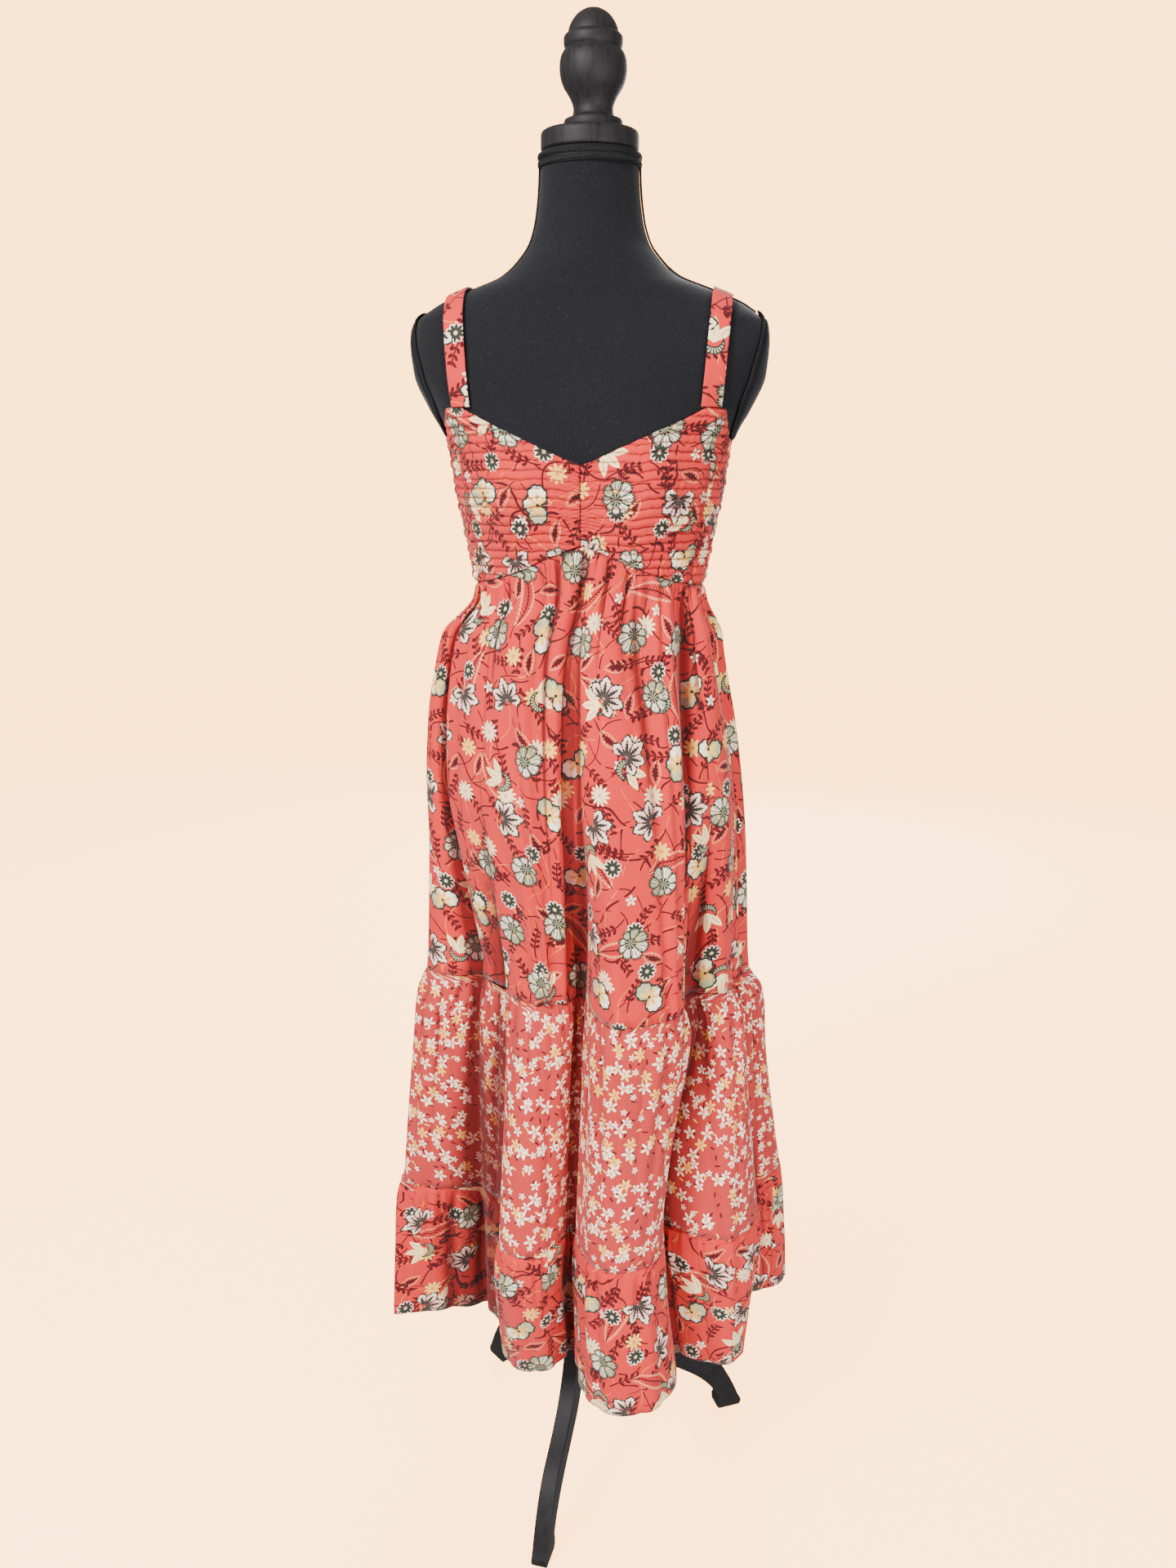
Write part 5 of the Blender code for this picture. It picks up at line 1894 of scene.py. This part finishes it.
    def tier_face(self, tier: Tier) -> tuple[np.ndarray, np.ndarray, np.ndarray, np.ndarray]:
        """Make the outer face of a tier all round.

        Args:
            tier: The tier.

        Returns:
            Its points, their heights, the height of its seam at each column, and how deep in
            a fold each point lies, and each point's painted shade.
        """
        count = len(self.columns)
        if tier.name == "tier_1":
            seam_bearing = self.bearing_curve(np.full(count, self.levels[2])) % 360.0
            top = self.edges.height(self.edges.waist, seam_bearing) - SEAM_GAP
        else:
            top = np.full(count, self.levels[2 if tier.name == "tier_2" else 1])
        low = tier.bottom + (SEAM_GAP if tier.bottom > 0.3 else 0.0)
        share = (np.linspace(0.0, 1.0, tier.rows + 1) ** 0.86)[:, None]
        height = low + (top[None, :] - low) * share
        points, bearing = self.point(height)
        drop = top[None, :] - height
        points = self.rest_on_torso(points, bearing, height, drop)
        out = grid_normals(points, closed=True)
        out = unit(out * LEVEL)
        points = points + out * self.folds(tier, points, drop, height)[..., None]
        out = grid_normals(points, closed=True)
        # Painted shade: deeper folds darken the print.
        crease_shade = sum(weight * hollows(points, out, step, 1, True)
                     for weight, step in ((1.8, 3), (3.0, 8), (3.2, 20), (2.0, 44)))
        # Painted shadow in a narrow band just under the seam.
        crease_shade = crease_shade - 0.05 + 0.4 * np.exp(-drop / 0.003)
        return points, height, top, np.clip(crease_shade, 0.0, 0.95)

    def rest_on_torso(self, points: np.ndarray, bearing: np.ndarray, height: np.ndarray,
                      drop: np.ndarray) -> np.ndarray:
        """Lay the cloth on the torso at the waist seam and keep it clear below.

        Args:
            points: The tier's plain face.
            bearing: Bearings of its points.
            height: Heights of its points.
            drop: Distance below its seam.

        Returns:
            The face as it lies on the torso.
        """
        if float(height.min()) < 0.6:
            return points
        level = np.maximum(height, self.torso.bottom)
        bare = self.torso.off(bearing % 360.0, level, self.clear + self.wall, True)
        t = smooth_step(drop, 0.0, self.blend)
        x = bare[..., 0] + (points[..., 0] - bare[..., 0]) * t
        y = bare[..., 1] + (points[..., 1] - bare[..., 1]) * t
        size = np.hypot(x, y - TORSO_Y)
        least = np.hypot(bare[..., 0], bare[..., 1] - TORSO_Y)
        grow = np.where(height < self.torso.bottom, 1.0, np.maximum(1.0, least / size))
        return np.stack([x * grow, TORSO_Y + (y - TORSO_Y) * grow, height], axis=-1)

    def folds(self, tier: Tier, points: np.ndarray, drop: np.ndarray,
              height: np.ndarray) -> np.ndarray:
        """Height of the gathers and folds over the plain face.

        Args:
            tier: The tier.
            points: Its plain face.
            drop: Distance below its seam.
            height: Heights of the points.

        Returns:
            How far each point moves out.
        """
        row = points[tier.rows * 2 // 3]
        steps = np.linalg.norm(np.roll(row, -1, axis=0) - row, axis=1)
        around = np.concatenate([[0.0], np.cumsum(steps)[:-1]])[None, :]
        lean = 0.010 * waves(around, 0.21, tier.seed + 5) * (drop / 0.12)
        place = around + lean
        start = smooth_step(drop, 0.0, 0.007)
        if tier.name == "tier_1":
            sizes = ((0.0110, 0.0028, 0.038), (0.0230, 0.0064, 0.135), (0.0540, 0.0110, 0.480))
        else:
            sizes = ((0.0080, 0.0028, 0.024), (0.0150, 0.0050, 0.065), (0.0380, 0.0070, 0.240))
        total = np.zeros_like(drop)
        for number, (spacing, depth, reach) in enumerate(sizes):
            shape = pipes(place, spacing, depth, tier.seed * 7 + number)
            sunk = depth * (0.30 + 0.25 * smooth_step(drop, 0.015, 0.110))
            begin = smooth_step(drop, -0.01, 0.001 + 0.028 * number)
            total += (shape - sunk) * begin * np.exp(-(drop / reach) ** 1.3)
        above = height - tier.bottom
        if tier.bottom > 0.3:
            tuck = pipes(around + 0.0 * drop, 0.0100, 0.0014, tier.seed * 7 + 5)
            total += (tuck - 0.0008) * np.exp(-above / 0.012)
        total = total * start
        drape = 0.0016 * waves(around + lean * 2.0, 0.060, tier.seed + 9) * smooth_step(
            drop, 0.03, 0.12)
        return total + drape - 0.0012 * np.exp(-drop / 0.002)

    def half_tier(self, tier: Tier, half: str, grid: np.ndarray, height: np.ndarray,
                  top: np.ndarray, crease_shade: np.ndarray, first: int, last: int) -> list:
        """Args:
            tier: The tier.
            half: Front or back.
            grid: The tier's face all round.
            height: Heights of its points.
            top: Height of its seam at each column.
            crease_shade: Painted shade of each point, from 0 to 1.
            first: First column of the half.
            last: Last column of the half.

        Returns:
            Stitches along its hem for the lowest tier, and none for the others.
        """
        picked = np.arange(first, last + 1) % len(self.columns)
        face = grid[:, picked].copy()
        face[:, 0] += unit(face[:, 1] - face[:, 0]) * (SEAM_GAP / 2)
        face[:, -1] += unit(face[:, -2] - face[:, -1]) * (SEAM_GAP / 2)
        arc = run_length(face)
        widest = arc[0]
        middle = len(picked) // 2
        spread = 0.85 * (arc - arc[:, middle:middle + 1]) + 0.15 * (widest - widest[middle])
        tall = height[:, picked] - tier.bottom
        shift = 0.43 * tier.seed + (0.19 if half == "back" else 0.0)
        flat = np.stack([spread + shift + 2.0, tall * 1.03 + 0.27 * tier.seed], axis=-1)
        material = self.finishes.small_print if tier.small else self.finishes.floral
        name = tier.name + "_" + half
        item = cloth_piece(name + "_cloth", face, flat, material, crease_shade=crease_shade[:, picked])
        slot = Slot.SMALL_PRINT if tier.small else Slot.FLORAL
        settle(item, slot, name)
        drop = float((top[picked] - tier.bottom).max())
        if tier.name != "tier_3":
            return []
        out = unit(grid_normals(face) * LEVEL)
        near = np.argmin(np.abs(height[:, 0] - tier.bottom - 0.010))
        return [spaced(face[near] + out[near] * 0.0002, 0.0034)]


@dataclass
class Studio:
    """Floor, lights and camera."""

    eye: tuple[float, float, float] = (0.1413, -1.4683, 1.3295)
    tilt: float = 74.46
    swing: float = 5.5
    lens: float = 30.0
    sensor: float = 36.0
    sky: Colour = tone(255, 250, 246)
    sky_strength: float = 0.68

    def build(self) -> None:
        """Make the floor, the lights and the camera."""
        self.floor()
        self.light("key", (-1.5, -2.2, 2.7), (0.0, 0.0, 0.80), 1.2, 205.0)
        self.light("fill", (1.6, -2.4, 0.7), (0.0, 0.0, 0.30), 2.0, 105.0)
        self.light("back", (0.3, 2.9, 1.7), (0.0, 0.0, 0.8), 2.4, 120.0)
        world = bpy.data.worlds.new("soft_room")
        world.use_nodes = True
        sky = world.node_tree.nodes["Background"]
        sky.inputs["Color"].default_value = self.sky
        sky.inputs["Strength"].default_value = self.sky_strength
        bpy.context.scene.world = world
        camera = bpy.data.cameras.new("camera")
        camera.lens = self.lens
        camera.sensor_width = self.sensor
        item = bpy.data.objects.new("camera", camera)
        item.location = self.eye
        item.rotation_euler = (math.radians(self.tilt), 0.0, math.radians(self.swing))
        bpy.context.scene.collection.objects.link(item)
        bpy.context.scene.camera = item

    def floor(self) -> None:
        """Make a floor that bends up into a wall all round, far from the form."""
        profile = [(0.0, 0.0), (2.0, 0.0), (4.2, 0.0), (5.0, 0.12), (5.6, 0.5), (6.0, 1.2),
                   (6.1, 2.4), (6.1, 5.0)]
        line = fine_line(profile[1:], 4)
        steps = 96
        turn = np.arange(steps) * TAU / steps
        grid = np.stack([line[:, :1] * np.cos(turn), line[:, :1] * np.sin(turn),
                         np.broadcast_to(line[:, 1:], (len(line), steps))], axis=-1)
        verts = np.concatenate([grid.reshape(-1, 3), [(0.0, 0.0, 0.0)]])
        faces = [tuple(reversed(face)) for face in grid_faces(len(line), steps, closed=True)]
        faces += [(len(verts) - 1, k, (k + 1) % steps) for k in range(steps)]
        item = mesh_piece("floor", verts, faces, PaleFloor().build())
        item.visible_diffuse = False
        item.visible_glossy = False
        item.visible_shadow = False

    def light(self, name: str, place: tuple, target: tuple, size: float, power: float) -> None:
        """Add one large soft lamp that looks at a point.

        Args:
            name: Its name.
            place: Where it hangs.
            target: The point that it looks at.
            size: Its width.
            power: Its power in watts.
        """
        lamp = bpy.data.lights.new(name, "AREA")
        lamp.shape = "DISK"
        lamp.size = size
        lamp.energy = power
        item = bpy.data.objects.new(name, lamp)
        item.location = place
        line = np.array(target) - np.array(place)
        flat = math.hypot(line[0], line[1])
        item.rotation_euler = (math.atan2(flat, -line[2]), 0.0,
                               math.atan2(line[1], line[0]) - math.pi / 2.0)
        bpy.context.scene.collection.objects.link(item)


def main() -> None:
    """Build the form, the stand and the dress in order."""
    logging.basicConfig(level=logging.INFO, format="%(name)s: %(message)s")
    torso = Torso()
    edges = Edges()
    finishes = Finishes()
    LOG.info("camera, lights and floor")
    Studio().build()
    LOG.info("dress form")
    DressForm(torso, finishes).build()
    LOG.info("stand")
    Stand(finishes).build()
    LOG.info("bodice")
    Bodice(torso, edges, finishes).build()
    LOG.info("straps")
    Straps(torso, edges, finishes).build()
    LOG.info("skirt")
    Skirt(torso, edges, finishes).build()


if __name__ == "__main__":
    main()
